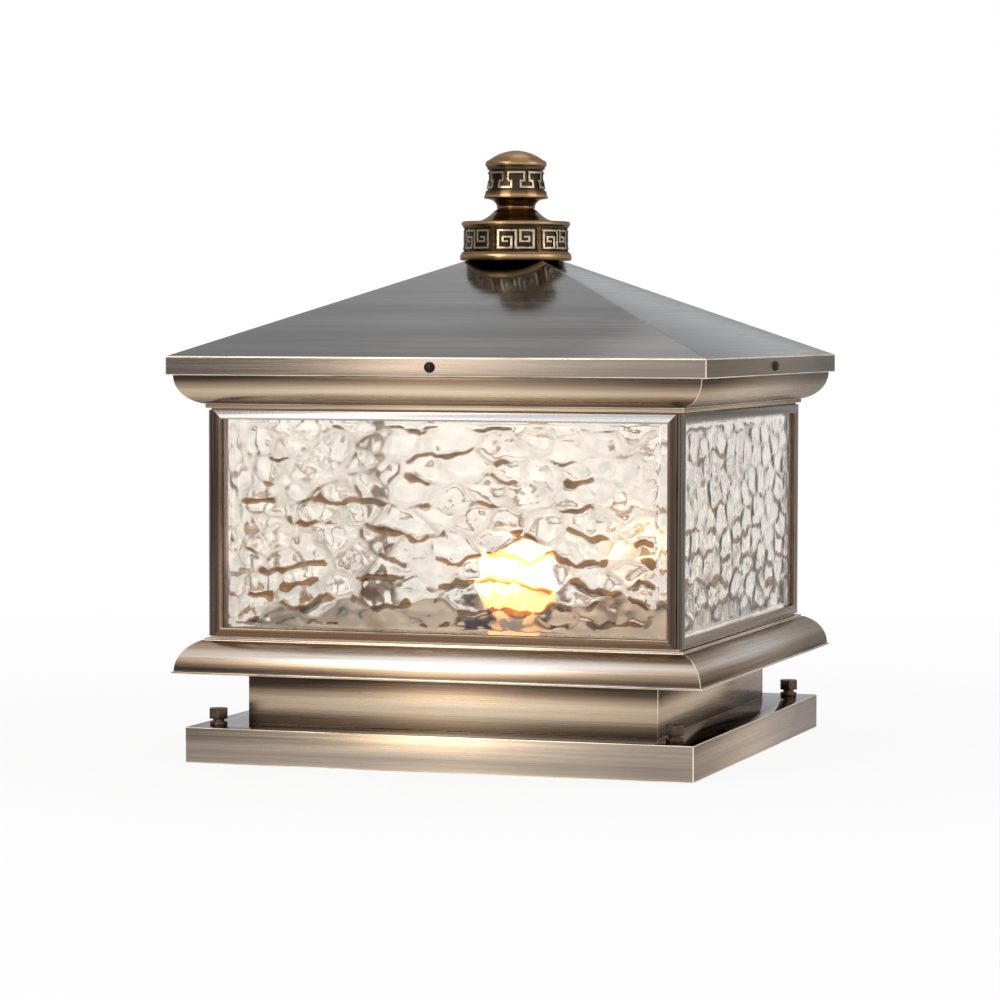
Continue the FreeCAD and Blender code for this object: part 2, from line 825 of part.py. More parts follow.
def make_sides():
    """On each side a mitred frame, a seal and a pane, clamped against the posts."""
    frame_half = opening_half() + size.lip_width
    face = body_half
    back = face - size.lip_thickness
    seal_back = back - size.seal_thickness
    glass_back = seal_back - size.glass_thickness
    pane_low = body_low + size.pane_edge_gap
    pane_high = body_high - size.pane_edge_gap
    seal_edge = pane_half() - size.seal_width
    seals = []
    for turn, side in enumerate(SIDES):
        keep("window_frame_" + side, picture_frame(
            "window_frame_" + side, frame_half, body_low, body_high,
            [(frame_half - size.lip_width + size.lip_bevel, -face), (frame_half, -face), (frame_half, -back),
             (frame_half - size.lip_width, -back), (frame_half - size.lip_width, -face + size.lip_bevel)],
            turn))
        seals.append(picture_frame(
            "seal_" + side, pane_half(), pane_low, pane_high,
            [(seal_edge, -back), (pane_half(), -back), (pane_half(), -seal_back), (seal_edge, -seal_back)],
            turn))
        keep("glass_pane_" + side, padded(
            "glass_pane_" + side, rectangle(-pane_half(), pane_half(), -seal_back, -glass_back),
            pane_low, pane_high, turn))
    keep("pane_seals", group("pane_seals", seals))


# Upper moulding
def make_cornice():
    """The head ring, the cornice on it, the screws into both ends of the posts and the roof's seal."""
    wall = size.moulding_wall
    ring_inner = sheet_half - size.head_ring_depth
    blank = square_moulding("head_ring_blank", ring_inner, [
        (ring_inner, body_high),
        (sheet_half, body_high),
        (sheet_half, cornice_low),
        (ring_inner, cornice_low),
    ])
    keep("head_ring", cut_by("head_ring", blank, post_holes("head_ring_hole", body_high)))

    flange_half = upstand_half - size.upstand_flange
    web_high = cornice_low + wall
    shell = square_moulding("cornice_shell", web_edge, [
        (web_edge, cornice_low),
        (cornice_fillet_half, cornice_low),
        (cornice_fillet_half, cornice_shoulder),
        (cornice_shoulder_half, cornice_shoulder, -CORNICE_BULGE_SHARE),
        (cornice_half, cornice_top),
        (upstand_half, cornice_top),
        (upstand_half, upstand_top),
        (flange_half, upstand_top),
        (flange_half, upstand_top - wall),
        (upstand_half - wall, upstand_top - wall),
        (upstand_half - wall, cornice_top - wall),
        (cornice_half - wall - wall, cornice_top - wall),
        (cornice_fillet_half - wall, web_high),
        (web_edge, web_high),
    ])
    keep("cornice", cut_by("cornice", shell, post_holes("cornice_hole", body_high)))
    lower_screws = post_screws("floor_screw", skirt_top - wall, UP)
    upper_screws = post_screws("head_screw", web_high, DOWN)
    keep("post_screws", group("post_screws", lower_screws + upper_screws))

    seal_in = upstand_half - size.roof_seal_width
    keep("roof_seal", square_moulding("roof_seal", seal_in, [
        (seal_in, upstand_top),
        (upstand_half, upstand_top),
        (upstand_half, roof_underside(upstand_half) - size.roof_seal_gap),
        (seal_in, roof_underside(seal_in) - size.roof_seal_gap),
    ]))


# Roof
roof_slope = size.roof_rise / roof_half
slope_length = distance(roof_half, size.roof_rise)
roof_drop = size.roof_wall * slope_length / roof_half
roof_apex = eaves_top + size.roof_rise
cap_half = size.roof_cap_width / 2
roof_flat = roof_apex - cap_half * roof_slope
screw_height = cornice_top + size.fascia_height / 2


def roof_underside(half):
    """The height of the roof's inner face at a distance from the middle."""
    return roof_apex - half * roof_slope - roof_drop


def make_roof():
    """Four slopes and four fascia strips, brazed at their mitres, under a thick cap."""
    fascia_inner = roof_half - size.roof_wall
    fascia_top = roof_underside(fascia_inner)
    slopes = square_moulding("roof_slopes", cap_half, [
        (fascia_inner, fascia_top),
        (roof_half, fascia_top),
        (roof_half, eaves_top),
        (cap_half, roof_flat),
        (cap_half, roof_underside(cap_half)),
    ])
    fascia = square_moulding("roof_fascia", fascia_inner, [
        (fascia_inner, cornice_top),
        (roof_half, cornice_top),
        (roof_half, fascia_top),
        (fascia_inner, fascia_top),
    ])
    screw_bore = size.roof_screw_radius + size.thread_clearance
    screw_holes = [
        cylinder("roof_screw_hole_%d" % index, screw_bore, roof_half, z=screw_height, along=way)
        for index, way in enumerate((FRONT, RIGHT, BACK, LEFT))
    ]
    drilled = cut_by("roof_fascia_drilled", fascia, screw_holes)
    cap_low = roof_flat - size.roof_cap_thickness
    cap = square_plate("roof_cap_blank", cap_half, cap_low, roof_flat)
    rod_hole_radius = size.rod_radius + size.rod_clearance
    rod_hole = cylinder("roof_rod_hole", rod_hole_radius, size.roof_cap_thickness, z=cap_low)
    slope_strips = mitred_strips("roof_slope", slopes, roof_half, fascia_top, roof_flat)
    fascia_strips = mitred_strips("roof_edge", drilled, roof_half, cornice_top, fascia_top)
    keep("roof", group("roof", slope_strips + fascia_strips + [cut_by("roof_cap", cap, [rod_hole])]))

    nuts = []
    for index, way in enumerate((FRONT, RIGHT, BACK, LEFT)):
        seat = fascia_inner - size.clinch_nut_length
        blank = cylinder("clinch_blank_%d" % index, size.clinch_nut_radius, size.clinch_nut_length,
                         x=way.x * seat, y=way.y * seat, z=screw_height, along=way)
        bore = cylinder("clinch_bore_%d" % index, screw_bore, roof_half, z=screw_height, along=way)
        nuts.append(cut_by("clinch_nut_%d" % index, blank, [bore]))
    keep("clinch_nuts", group("clinch_nuts", nuts))

    tip = upstand_half + size.roof_screw_tip_gap
    for side, way in zip(SIDES, (FRONT, RIGHT, BACK, LEFT)):
        name = "roof_screw_" + side
        keep(name, pan_screw(name, size.roof_screw_radius, roof_half - tip,
                             size.roof_screw_head_radius, size.roof_screw_head_height,
                             way.x * roof_half, way.y * roof_half, screw_height, -way))


# Finial
def make_finial():
    rim = size.finial_rim_radius
    hip_slope = roof_slope * math.sqrt(0.5)
    drum_low = roof_apex - rim * hip_slope + size.finial_rim_gap
    drum_high = drum_low + size.drum_height
    cavity_radius = rim - size.drum_wall
    cavity_top = drum_high - size.drum_top_thickness
    seal_top = roof_flat + size.finial_seal_thickness
    bore = size.rod_radius + size.rod_clearance
    outside = [
        (rim * across, drum_low + size.drum_height * up, bulge)
        for across, up, bulge in DRUM_SHARES
    ]
    inside = [
        (bore, drum_high),
        (bore, seal_top),
        (size.boss_radius, seal_top),
        (size.boss_radius, cavity_top),
        (cavity_radius, cavity_top),
        (cavity_radius, drum_low + size.drum_wall * hip_slope),
    ]
    keep("finial_drum", turned_piece("finial_drum", outside + inside))

    knob_top = drum_high + size.knob_height
    rod_top = drum_high + size.rod_in_knob
    knob_bore = size.rod_radius + size.thread_clearance
    outside = [
        (size.knob_radius * across, drum_high + size.knob_height * up, bulge)
        for across, up, bulge in reversed(knob_walk())
    ]
    keep("finial_knob", turned_piece("finial_knob", outside + [
        (knob_bore, drum_high),
        (knob_bore, rod_top),
        (0, rod_top),
        (0, knob_top, DOME),
    ]))

    cap_low = roof_flat - size.roof_cap_thickness
    keep("finial_rod", cylinder("finial_rod", size.rod_radius, rod_top - cap_low + size.rod_tail,
                                z=cap_low - size.rod_tail))
    keep("finial_seal", ring("finial_seal", size.boss_radius, bore, roof_flat, seal_top))
    washer_low = cap_low - size.finial_washer_thickness
    keep("finial_washer", ring("finial_washer", size.finial_washer_radius, bore, washer_low, cap_low))
    keep("finial_nut", hex_nut("finial_nut", size.finial_nut_across_flats, size.finial_nut_height,
                               size.rod_radius + size.thread_clearance,
                               0, 0, washer_low - size.finial_nut_height))


def knob_walk():
    """The knob's outline from its foot up, each bulge moved to suit the walk down."""
    bulges = [0] + [-share[2] for share in KNOB_SHARES[:-1]]
    return [(across, up, bulge) for (across, up, _), bulge in zip(KNOB_SHARES, bulges)]


def ring(name, outer, inner, low, high):
    """A flat round ring between two heights."""
    return turned_piece(name, [(inner, low), (outer, low), (outer, high), (inner, high)])


# Lampholder on its strap
strap_low = base_top + size.neck_wall
strap_top = strap_low + size.strap_thickness
cup_floor = strap_top + size.holder_floor
lamp_foot = cup_floor + size.contact_height + size.lamp_gap
lamp_cap_top = lamp_foot + size.cap_height
holder_top = lamp_cap_top + size.holder_lip


def make_holder():
    strap_half = size.strap_width / 2
    strap_end = neck_inner - size.plate_clearance
    strap_plan = rectangle(-strap_end, strap_end, -strap_half, strap_half)
    strap = padded("strap_blank", strap_plan, strap_low, strap_top)
    holes = [cylinder("strap_centre_hole", size.nipple_radius, strap_top)] + [
        cylinder("strap_hole_%d" % index, size.screw_radius + size.screw_clearance, strap_top, x, y)
        for index, (x, y) in enumerate(fixing_places()[1])
    ]
    keep("holder_strap", cut_by("holder_strap", strap, holes))

    rim_low = holder_top - size.holder_rim_height
    shell_inner = size.cap_radius + size.thread_clearance
    cup_radius = shell_inner + size.shell_wall
    keep("lampholder_body", turned_piece("lampholder_body", [
        (size.nipple_radius, strap_top),
        (size.holder_foot_radius, strap_top),
        (size.holder_radius, strap_top + size.holder_radius - size.holder_foot_radius),
        (size.holder_radius, rim_low),
        (size.holder_rim_radius, rim_low),
        (size.holder_rim_radius, holder_top),
        (cup_radius, holder_top),
        (cup_radius, cup_floor),
        (size.nipple_radius, cup_floor),
    ]))
    keep("lampholder_shell", ring("lampholder_shell", cup_radius, shell_inner, cup_floor,
                                  holder_top - size.holder_rim_height))
    contact_top = cup_floor + size.contact_height
    keep("centre_contact", square_plate("centre_contact", size.contact_width / 2, cup_floor, contact_top))
    nipple_low = strap_low - size.nipple_tail
    keep("hollow_nipple", ring("hollow_nipple", size.nipple_radius, size.nipple_bore_radius,
                               nipple_low, cup_floor))
    keep("nipple_locknut", hex_nut("nipple_locknut", size.locknut_across_flats, size.locknut_height,
                                   size.nipple_radius, 0, 0, strap_low - size.locknut_height))


# Lamp
def make_lamp():
    collar_top = lamp_cap_top + size.collar_height
    round_off = size.cap_radius * CAP_ROUND_SHARE
    contact_radius = size.contact_width / 2
    keep("bulb_cap", turned_piece("bulb_cap", [
        (0, lamp_foot),
        (contact_radius, lamp_foot),
        (size.cap_radius, lamp_foot + round_off),
        (size.cap_radius, lamp_cap_top),
        (0, lamp_cap_top),
    ]))
    neck_radius = size.bulb_radius * BULB_NECK_SHARE
    keep("bulb_collar", turned_piece("bulb_collar", [
        (0, lamp_cap_top),
        (size.cap_radius, lamp_cap_top),
        (neck_radius, collar_top),
        (0, collar_top),
    ]))
    board_radius = neck_radius - size.bulb_wall - size.bulb_wall
    keep("led_board", turned_piece("led_board", [
        (0, collar_top),
        (board_radius, collar_top),
        (board_radius, collar_top + size.led_board_thickness),
        (0, collar_top + size.led_board_thickness),
    ]))
    centre = collar_top + size.bulb_radius * BULB_CENTRE_SHARE
    inner_radius = size.bulb_radius - size.bulb_wall
    across, up = BULB_SHOULDER_SHARES
    drop = (BULB_CENTRE_SHARE - up) * size.bulb_radius
    inner_share = inner_radius / size.bulb_radius
    keep("bulb_globe", turned_piece("bulb_globe", [
        (neck_radius, collar_top),
        (size.bulb_radius * across, centre - drop, DOME),
        (0, centre + size.bulb_radius),
        (0, centre + inner_radius, DOME),
        (inner_radius * across, centre - drop * inner_share),
        (neck_radius - size.bulb_wall, collar_top),
    ]))


# Wiring inside the neck
def make_wiring():
    half_length = size.terminal_length / 2
    half_width = size.terminal_width / 2
    middle = (size.holder_radius + fixing_half) / 2
    near = middle - half_length
    far = middle + half_length
    top = strap_top + size.terminal_height
    way_height = strap_top + size.terminal_height / 2
    ways = (-size.lead_spacing, 0, size.lead_spacing)
    blank = padded("terminal_blank", rectangle(near, far, -half_width, half_width), strap_top, top)
    wire_holes = [
        cylinder("wire_hole_%d_%d" % (index, end), size.terminal_hole_radius, size.terminal_hole_depth,
                 x, y, way_height, RIGHT)
        for index, y in enumerate(ways)
        for end, x in enumerate((near, far - size.terminal_hole_depth))
    ]
    screw_holes = [
        cylinder("clamp_hole_%d" % index, size.terminal_screw_radius, size.terminal_screw_depth,
                 middle, y, top - size.terminal_screw_depth)
        for index, y in enumerate(ways)
    ]
    keep("terminal_block", cut_by("terminal_block", blank, wire_holes + screw_holes))
    keep("terminal_screws", group("terminal_screws", [
        cylinder("clamp_screw_%d" % index, size.terminal_screw_radius, size.terminal_screw_depth,
                 middle, y, top - size.terminal_screw_depth)
        for index, y in enumerate(ways)
    ]))

    bend = size.lead_bend_radius
    quarter = QUARTER_BULGE_SHARE
    lead_start = near + size.lead_run
    first_bend = near - size.lead_run
    rise = way_height + bend + bend
    for name, y in (("live_lead", ways[0]), ("neutral_lead", ways[2])):
        lead(name, [
            (lead_start, way_height), (first_bend, way_height, quarter),
            (first_bend - bend, way_height + bend, -quarter), (first_bend - bend - bend, rise),
            (leg(size.holder_radius, size.lead_spacing - size.lead_radius), rise),
        ], y)
    earth_x = far + size.lead_run + bend
    lead("earth_lead", [
        (far - size.lead_run, way_height), (earth_x - bend, way_height, quarter),
        (earth_x, way_height - bend), (earth_x, strap_top),
    ], 0)


# The swell of a quarter circle as a share of its chord
QUARTER_BULGE_SHARE = (math.sqrt(2) - 1) / 2


def lead(name, points, y):
    """An insulated lead: a round section drawn along straight runs and quarter bends."""
    body = new_body(name)
    path = new_sketch(body, name + "_path", "XZ_Plane")
    draw_outline(path, points, closed=False)
    section = new_sketch(body, name + "_section", "YZ_Plane", points[0][0])
    circle = section.addGeometry(Part.Circle(FreeCAD.Vector(0, number_of(points[0][1]), 0), UP,
                                             size.lead_radius.number))
    fix_coordinate(section, "DistanceX", -2, (circle, 3), 0)
    fix_coordinate(section, "DistanceY", -1, (circle, 3), points[0][1])
    index = section.addConstraint(Sketcher.Constraint("Radius", circle, size.lead_radius.number))
    bind(section, "Constraints[%d]" % index, size.lead_radius)
    sweep = body.newObject("PartDesign::AdditivePipe", name + "_sweep")
    sweep.Profile = section
    sweep.Spine = (path, [])
    keep(name, place(body, y=y))


make_base()
make_cap_nuts()
make_neck()
make_skirt()
make_posts()
make_sides()
make_cornice()
make_roof()
make_finial()
make_holder()
make_lamp()
make_wiring()
doc.recompute()

# Checks on the document, then the files
for thing in doc.Objects:
    if "Invalid" in thing.State or "Error" in thing.State:
        raise RuntimeError("%s did not recompute: %s" % (thing.Name, thing.State))
for name, thing in pieces.items():
    if thing.Shape.isNull() or not thing.Shape.isValid() or not thing.Shape.Solids:
        raise RuntimeError("%s has no sound solid" % name)

os.makedirs("parts", exist_ok=True)
for name, thing in pieces.items():
    thing.Shape.exportStep(os.path.join("parts", name + ".step"))
print("%d sub-parts, %d solids" % (len(pieces), sum(len(thing.Shape.Solids) for thing in pieces.values())))
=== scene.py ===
import math
import random

import bmesh
import bpy
import numpy as np
from mathutils import Matrix, Vector, noise


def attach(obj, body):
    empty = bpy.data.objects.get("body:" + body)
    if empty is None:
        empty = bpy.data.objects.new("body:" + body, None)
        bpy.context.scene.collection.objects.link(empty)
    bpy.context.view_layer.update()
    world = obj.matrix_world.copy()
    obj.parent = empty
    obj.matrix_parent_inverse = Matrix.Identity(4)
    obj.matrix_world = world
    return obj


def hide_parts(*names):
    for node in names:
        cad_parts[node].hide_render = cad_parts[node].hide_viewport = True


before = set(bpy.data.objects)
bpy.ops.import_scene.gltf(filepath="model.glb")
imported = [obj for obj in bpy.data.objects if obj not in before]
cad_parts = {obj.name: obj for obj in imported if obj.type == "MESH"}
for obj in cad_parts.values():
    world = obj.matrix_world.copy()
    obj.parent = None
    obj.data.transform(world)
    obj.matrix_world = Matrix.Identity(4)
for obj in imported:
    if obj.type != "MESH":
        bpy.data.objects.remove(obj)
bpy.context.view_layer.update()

MM = 0.001
TINY = 1e-6
QUARTER = math.pi / 2
SIDES = ("front", "right", "back", "left")
CORNERS = ("front_right", "back_right", "back_left", "front_left")
SQUARE = 4
BODY_LOW, BODY_HIGH = 68.4, 190.9


# Shader maths
class Wire:
    """One socket of a finish, on which sums are written as on a number."""

    def __init__(self, finish, socket):
        self.finish = finish
        self.socket = socket

    def math(self, operation, *others):
        inputs = dict(enumerate((self,) + others))
        return self.finish.node("ShaderNodeMath", {"operation": operation}, inputs)

    def __add__(self, other):
        return self.math("ADD", other)

    def __sub__(self, other):
        return self.math("SUBTRACT", other)

    def __mul__(self, other):
        return self.math("MULTIPLY", other)

    def __rsub__(self, other):
        return (self * -1).math("ADD", other)

    __radd__ = __add__
    __rmul__ = __mul__

    def ranged(self, low, high, new_low, new_high, kind="LINEAR"):
        """Moves a range of values to another one and holds it there."""
        inputs = {"Value": self, "From Min": low, "From Max": high, "To Min": new_low, "To Max": new_high}
        return self.finish.node("ShaderNodeMapRange", {"interpolation_type": kind, "clamp": True}, inputs)


class Finish:
    """The nodes of a material or of the world, made one after another."""

    def __init__(self, owner):
        self.owner = owner
        owner.use_nodes = True
        self.tree = owner.node_tree
        self.tree.nodes.clear()

    def node(self, kind, settings=None, inputs=None, output=0):
        """Makes a node: its settings first, then the values or links of its sockets."""
        made = self.tree.nodes.new(kind)
        for key, value in (settings or {}).items():
            if key == "stops":
                ramp = made.color_ramp
                while len(ramp.elements) < len(value):
                    ramp.elements.new(1.0)
                for stop, (place, tone) in zip(ramp.elements, value):
                    stop.position = place
                    stop.color = (*tone, 1.0)
            else:
                setattr(made, key, value)
        for key, value in (inputs or {}).items():
            if isinstance(value, Wire):
                self.tree.links.new(value.socket, made.inputs[key])
            else:
                made.inputs[key].default_value = value
        return Wire(self, made.outputs[output])

    def place(self):
        return self.node("ShaderNodeTexCoord", output="Object")

    def scaled(self, scale, offset=(0, 0, 0)):
        """The piece's own coordinates, moved and stretched."""
        return self.node("ShaderNodeMapping", None, {"Vector": self.place(), "Location": offset, "Scale": scale})

    def axis(self, index, vector=None):
        return self.node("ShaderNodeSeparateXYZ", None, {0: vector or self.place()}, index)

    def noise(self, vector, scale=1.0, detail=3.0, roughness=0.5):
        inputs = {"Vector": vector, "Scale": scale, "Detail": detail, "Roughness": roughness}
        return self.node("ShaderNodeTexNoise", None, inputs)

    def ramp(self, value, stops):
        return self.node("ShaderNodeValToRGB", {"stops": stops}, {0: value})

    def mix(self, share, first, second, blend="MIX"):
        def colour(value):
            return value if isinstance(value, Wire) else (*value, 1.0)
        settings = {"data_type": "RGBA", "blend_type": blend}
        return self.node("ShaderNodeMix", settings, {0: share, 6: colour(first), 7: colour(second)}, 2)

    def bump(self, height, depth, strength=1.0):
        return self.node("ShaderNodeBump", None, {"Height": height, "Distance": depth, "Strength": strength})

    def surface(self, **inputs):
        """Ends the finish in one Principled shader."""
        named = {key.replace("_", " "): value for key, value in inputs.items()}
        for key, value in named.items():
            if isinstance(value, tuple) and len(value) == 3:
                named[key] = (*value, 1.0)
        self.end(self.node("ShaderNodeBsdfPrincipled", None, named))
        return self.owner

    def end(self, shader, kind="ShaderNodeOutputMaterial"):
        last = self.tree.nodes.new(kind)
        self.tree.links.new(shader.socket, last.inputs["Surface"])


# Finishes
GRAIN_WIDE = {"level": (2.5, 2.5, 210), "upright": (210, 210, 2.5), "turned": (12, 12, 500)}
GRAIN_FINE = {"level": (14, 14, 1500), "upright": (1500, 1500, 14), "turned": (60, 60, 2600)}
LACQUER = {"Coat_Weight": 0.08, "Coat_Roughness": 0.1, "Coat_IOR": 1.5}
WARM_SHEEN, GREY_SHEEN = (0.6, 0.57, 0.54), (0.93, 0.95, 0.98)


def grain(finish, way):
    """Wide and fine brush lines, each from 0 to 1."""
    wide = finish.noise(finish.scaled(GRAIN_WIDE[way]), 1.0, 4.0, 0.6).ranged(0.3, 0.7, 0.0, 1.0)
    fine = finish.noise(finish.scaled(GRAIN_FINE[way]), 1.0, 2.0, 0.5).ranged(0.25, 0.75, 0.0, 1.0)
    return wide, fine


def painted_middle_highlight(finish):
    """1 in the middle of each face, falling to 0 at the corners: the mask of a painted highlight in the middle of each
    face.
    """
    place = finish.place()
    along = finish.axis(0, place).math("ABSOLUTE").math("MINIMUM", finish.axis(1, place).math("ABSOLUTE"))
    return along.ranged(0.0, 0.15, 1.0, 0.0, "SMOOTHSTEP")


def brushed(name, dark, middle, light, way="level", highlight_and_shade_bands=None, gloss=0.22, metallic=1.0, middle_highlight=0.0,
            sheen=WARM_SHEEN):
    """Brushed antique bronze under lacquer; the bands paint highlights and shade by height in millimetres, and the
    middle of each face can be painted lighter as a highlight.
    """
    finish = Finish(bpy.data.materials.new(name))
    wide, fine = grain(finish, way)
    tone = wide * 0.4 + fine * 0.16 + finish.noise(finish.scaled((7, 7, 12)), 1.0, 3.0) * 0.5 - 0.03
    # painted highlights and shade: a tone for each height of the profile
    if highlight_and_shade_bands:
        low, high = highlight_and_shade_bands[0][0], highlight_and_shade_bands[-1][0]
        height = finish.axis(2).ranged(low * MM, high * MM, 0.0, 1.0)
        stops = [((at - low) / (high - low), (shade, shade, shade)) for at, shade in highlight_and_shade_bands]
        tone = tone * 0.5 + finish.axis(0, finish.ramp(height, stops)) - 0.25
    # painted highlight: lighter in the middle of each face, darker towards the corners
    if middle_highlight:
        tone = tone + painted_middle_highlight(finish) * middle_highlight - middle_highlight / 2
    colour = finish.ramp(tone, [(0.0, dark), (0.5, middle), (1.0, light)])
    roughness = fine * 0.12 + gloss
    normal = finish.bump(wide * 0.4 + fine * 0.6, 0.00003)
    return finish.surface(Base_Color=colour, Metallic=metallic, Roughness=roughness, Normal=normal,
                          Specular_Tint=sheen, **LACQUER)


def worn(name, dark, light):
    """Edges rubbed bright, with the dark finish left here and there."""
    finish = Finish(bpy.data.materials.new(name))
    rubbed = finish.noise(finish.scaled((16, 16, 16)), 1.0, 4.0, 0.6).ranged(0.3, 0.55, 0.0, 1.0)
    scratch = finish.noise(finish.scaled((900, 900, 900)), 1.0, 2.0)
    colour = finish.mix(rubbed, dark, light)
    return finish.surface(Base_Color=colour, Metallic=1.0, Roughness=scratch * 0.2 + 0.2,
                          Normal=finish.bump(scratch, 0.00002), **LACQUER)


def plain_metal(name, dark, light, gloss=0.35, grain_scale=300.0):
    finish = Finish(bpy.data.materials.new(name))
    cloud = finish.noise(finish.scaled((40, 40, 40)), 1.0, 5.0, 0.65)
    speck = finish.noise(finish.scaled((grain_scale, grain_scale, grain_scale)), 1.0, 2.0)
    colour = finish.mix(cloud.ranged(0.35, 0.65, 0.0, 1.0), dark, light)
    return finish.surface(Base_Color=colour, Metallic=1.0, Roughness=speck * 0.2 + gloss - 0.1,
                          Normal=finish.bump(speck, 0.00003))


def moulded(name, dark, light, gloss=0.5, depth=0.00004, scale=500.0, **others):
    """Plastic, rubber or porcelain: a fine skin with a slight change of colour."""
    finish = Finish(bpy.data.materials.new(name))
    cloud = finish.noise(finish.scaled((60, 60, 60)), 1.0, 4.0)
    skin = finish.noise(finish.scaled((scale, scale, scale)), 1.0, 3.0)
    colour = finish.mix(cloud.ranged(0.3, 0.7, 0.0, 1.0), dark, light)
    return finish.surface(Base_Color=colour, Roughness=skin * 0.2 + gloss - 0.1,
                          Normal=finish.bump(skin, depth), **others)


def clear_glass():
    """Water glass with painted refraction: a warmer, darker tint in the hollows between its cells, and bronze brown
    along some level creases.
    """
    finish = Finish(bpy.data.materials.new("rippled_water_glass"))
    hollow = finish.node("ShaderNodeAttribute", {"attribute_name": "hollow"}, None, "Fac")
    stain = finish.node("ShaderNodeAttribute", {"attribute_name": "stain"}, None, "Fac")
    cloud = finish.noise(finish.scaled((60, 60, 140)), 1.0, 4.0, 0.6).ranged(0.35, 0.65, 0.0, 1.0)
    seed = finish.noise(finish.scaled((900, 900, 900)), 1.0, 2.0)
    crown = finish.mix(cloud, (0.82, 0.795, 0.765), (0.965, 0.94, 0.89))
    # painted refraction: a warmer, darker tint along the creases between cells
    tint = finish.mix(hollow * 0.6, crown, (0.84, 0.765, 0.66))
    painted_refraction_brown = finish.mix(cloud, (0.03, 0.006, 0.001), (0.2, 0.062, 0.01))
    # painted refraction of the bronze: brown along the marked creases
    tint = finish.mix(stain.ranged(0.1, 0.4, 0.0, 1.0), tint, painted_refraction_brown)
    return finish.surface(Base_Color=tint, Roughness=seed * 0.02 + hollow * 0.2, Transmission_Weight=1.0, IOR=1.5,
                          Normal=finish.bump(seed, 0.00001))


def lit_globe():
    """Opal glass, brightest round its middle and amber towards the cap and the crown."""
    finish = Finish(bpy.data.materials.new("lit_lamp_glass"))
    mottle = finish.noise(finish.scaled((90, 90, 90)), 1.0, 3.0).ranged(0.3, 0.7, 0.0, 0.2)
    height = finish.axis(2).ranged(GLOBE_LOW * MM, GLOBE_HIGH * MM, 0.0, 1.0)
    glow = finish.ramp(height + mottle - 0.1, [(0.0, (0.1, 0.035, 0.006)), (0.26, (0.22, 0.11, 0.03)),
                                               (0.44, (1.0, 0.7, 0.36)), (0.68, (1.0, 0.7, 0.36)),
                                               (0.84, (0.22, 0.11, 0.03)), (1.0, (0.1, 0.035, 0.006))])
    return finish.surface(Base_Color=(0.95, 0.92, 0.85), Roughness=0.4, Emission_Color=glow,
                          Emission_Strength=13.0)


def framed(name, top):
    """A mitred window frame: uprights brushed up and down, level members along, dark at the mitres, and the top member
    in the given colour, which on the front frame is a painted highlight.
    """
    finish = Finish(bpy.data.materials.new(name))
    place = finish.place()
    across = finish.axis(0, place).math("ABSOLUTE").math("MINIMUM", finish.axis(1, place).math("ABSOLUTE"))
    up = finish.axis(2, place)
    to_side = FRAME_HALF * MM - across
    to_end = (up - BODY_LOW * MM).math("MINIMUM", BODY_HIGH * MM - up)
    upright = (to_end - to_side).math("GREATER_THAN", 0.0)
    high = up.math("GREATER_THAN", (BODY_LOW + BODY_HIGH) / 2 * MM)
    seam = (to_end - to_side).math("ABSOLUTE").math("LESS_THAN", MITRE_LINE * MM)
    wide, fine = grain(finish, "upright")
    wide_level, fine_level = grain(finish, "level")
    stiles = finish.ramp(wide * 0.7 + fine * 0.3, [(0.0, (0.045, 0.03, 0.022)), (0.5, (0.09, 0.06, 0.045)),
                                                   (1.0, (0.16, 0.115, 0.085))])
    low = finish.ramp(wide_level * 0.6 + fine_level * 0.4, [(0.0, (0.1, 0.06, 0.04)), (1.0, (0.26, 0.165, 0.105))])
    lines = wide_level.ranged(0.0, 1.0, 0.55, 1.05)
    # the top member: a painted highlight on the front frame, plain dark bronze on the others
    upper = finish.mix(1.0, top, finish.node("ShaderNodeCombineXYZ", None, {0: lines, 1: lines, 2: lines}), "MULTIPLY")
    colour = finish.mix(upright, finish.mix(high, low, upper), stiles)
    colour = finish.mix(seam, colour, (0.012, 0.009, 0.007))
    return finish.surface(Base_Color=colour, Metallic=1.0, Roughness=fine * 0.1 + 0.24,
                          Normal=finish.bump(wide * 0.5 + fine * 0.5, 0.00002), **LACQUER)


def grooved(name):
    """A corner post: brown brushed nose, with the grooves beside it painted nearly black as shade."""
    finish = Finish(bpy.data.materials.new(name))
    place = finish.place()
    out = finish.axis(0, place).math("ABSOLUTE").math("MAXIMUM", finish.axis(1, place).math("ABSOLUTE"))
    nose = out.math("GREATER_THAN", NOSE_FROM * MM)
    wide, fine = grain(finish, "upright")
    brown = finish.ramp(wide * 0.7 + fine * 0.3, [(0.0, (0.05, 0.036, 0.028)), (0.5, (0.11, 0.083, 0.065)),
                                                  (1.0, (0.2, 0.165, 0.145))])
    # painted shade: nearly black deep in the grooves
    inner = out.math("LESS_THAN", GROOVE_SHADE_FROM * MM)
    colour = finish.mix(nose, finish.mix(inner, (0.008, 0.006, 0.005), (0.3, 0.15, 0.065)), brown)
    return finish.surface(Base_Color=colour, Metallic=nose, Roughness=fine * 0.1 + 0.26,
                          Normal=finish.bump(wide * 0.5 + fine * 0.5, 0.00002), **LACQUER)


FRAME_HALF, MITRE_LINE, NOSE_FROM, GROOVE_SHADE_FROM = 129.7, 0.14, 131.8, 129.0
GLOBE_LOW, GLOBE_HIGH = 76.0, 124.0
DARK_BRONZE = (0.12, 0.1, 0.09)
MID_BRONZE = (0.31, 0.26, 0.22)
PALE_BRONZE = (0.52, 0.445, 0.375)
WARM_DARK = (0.1, 0.07, 0.052)
WARM_MID = (0.4, 0.29, 0.2)
WARM_PALE = (0.8, 0.65, 0.48)
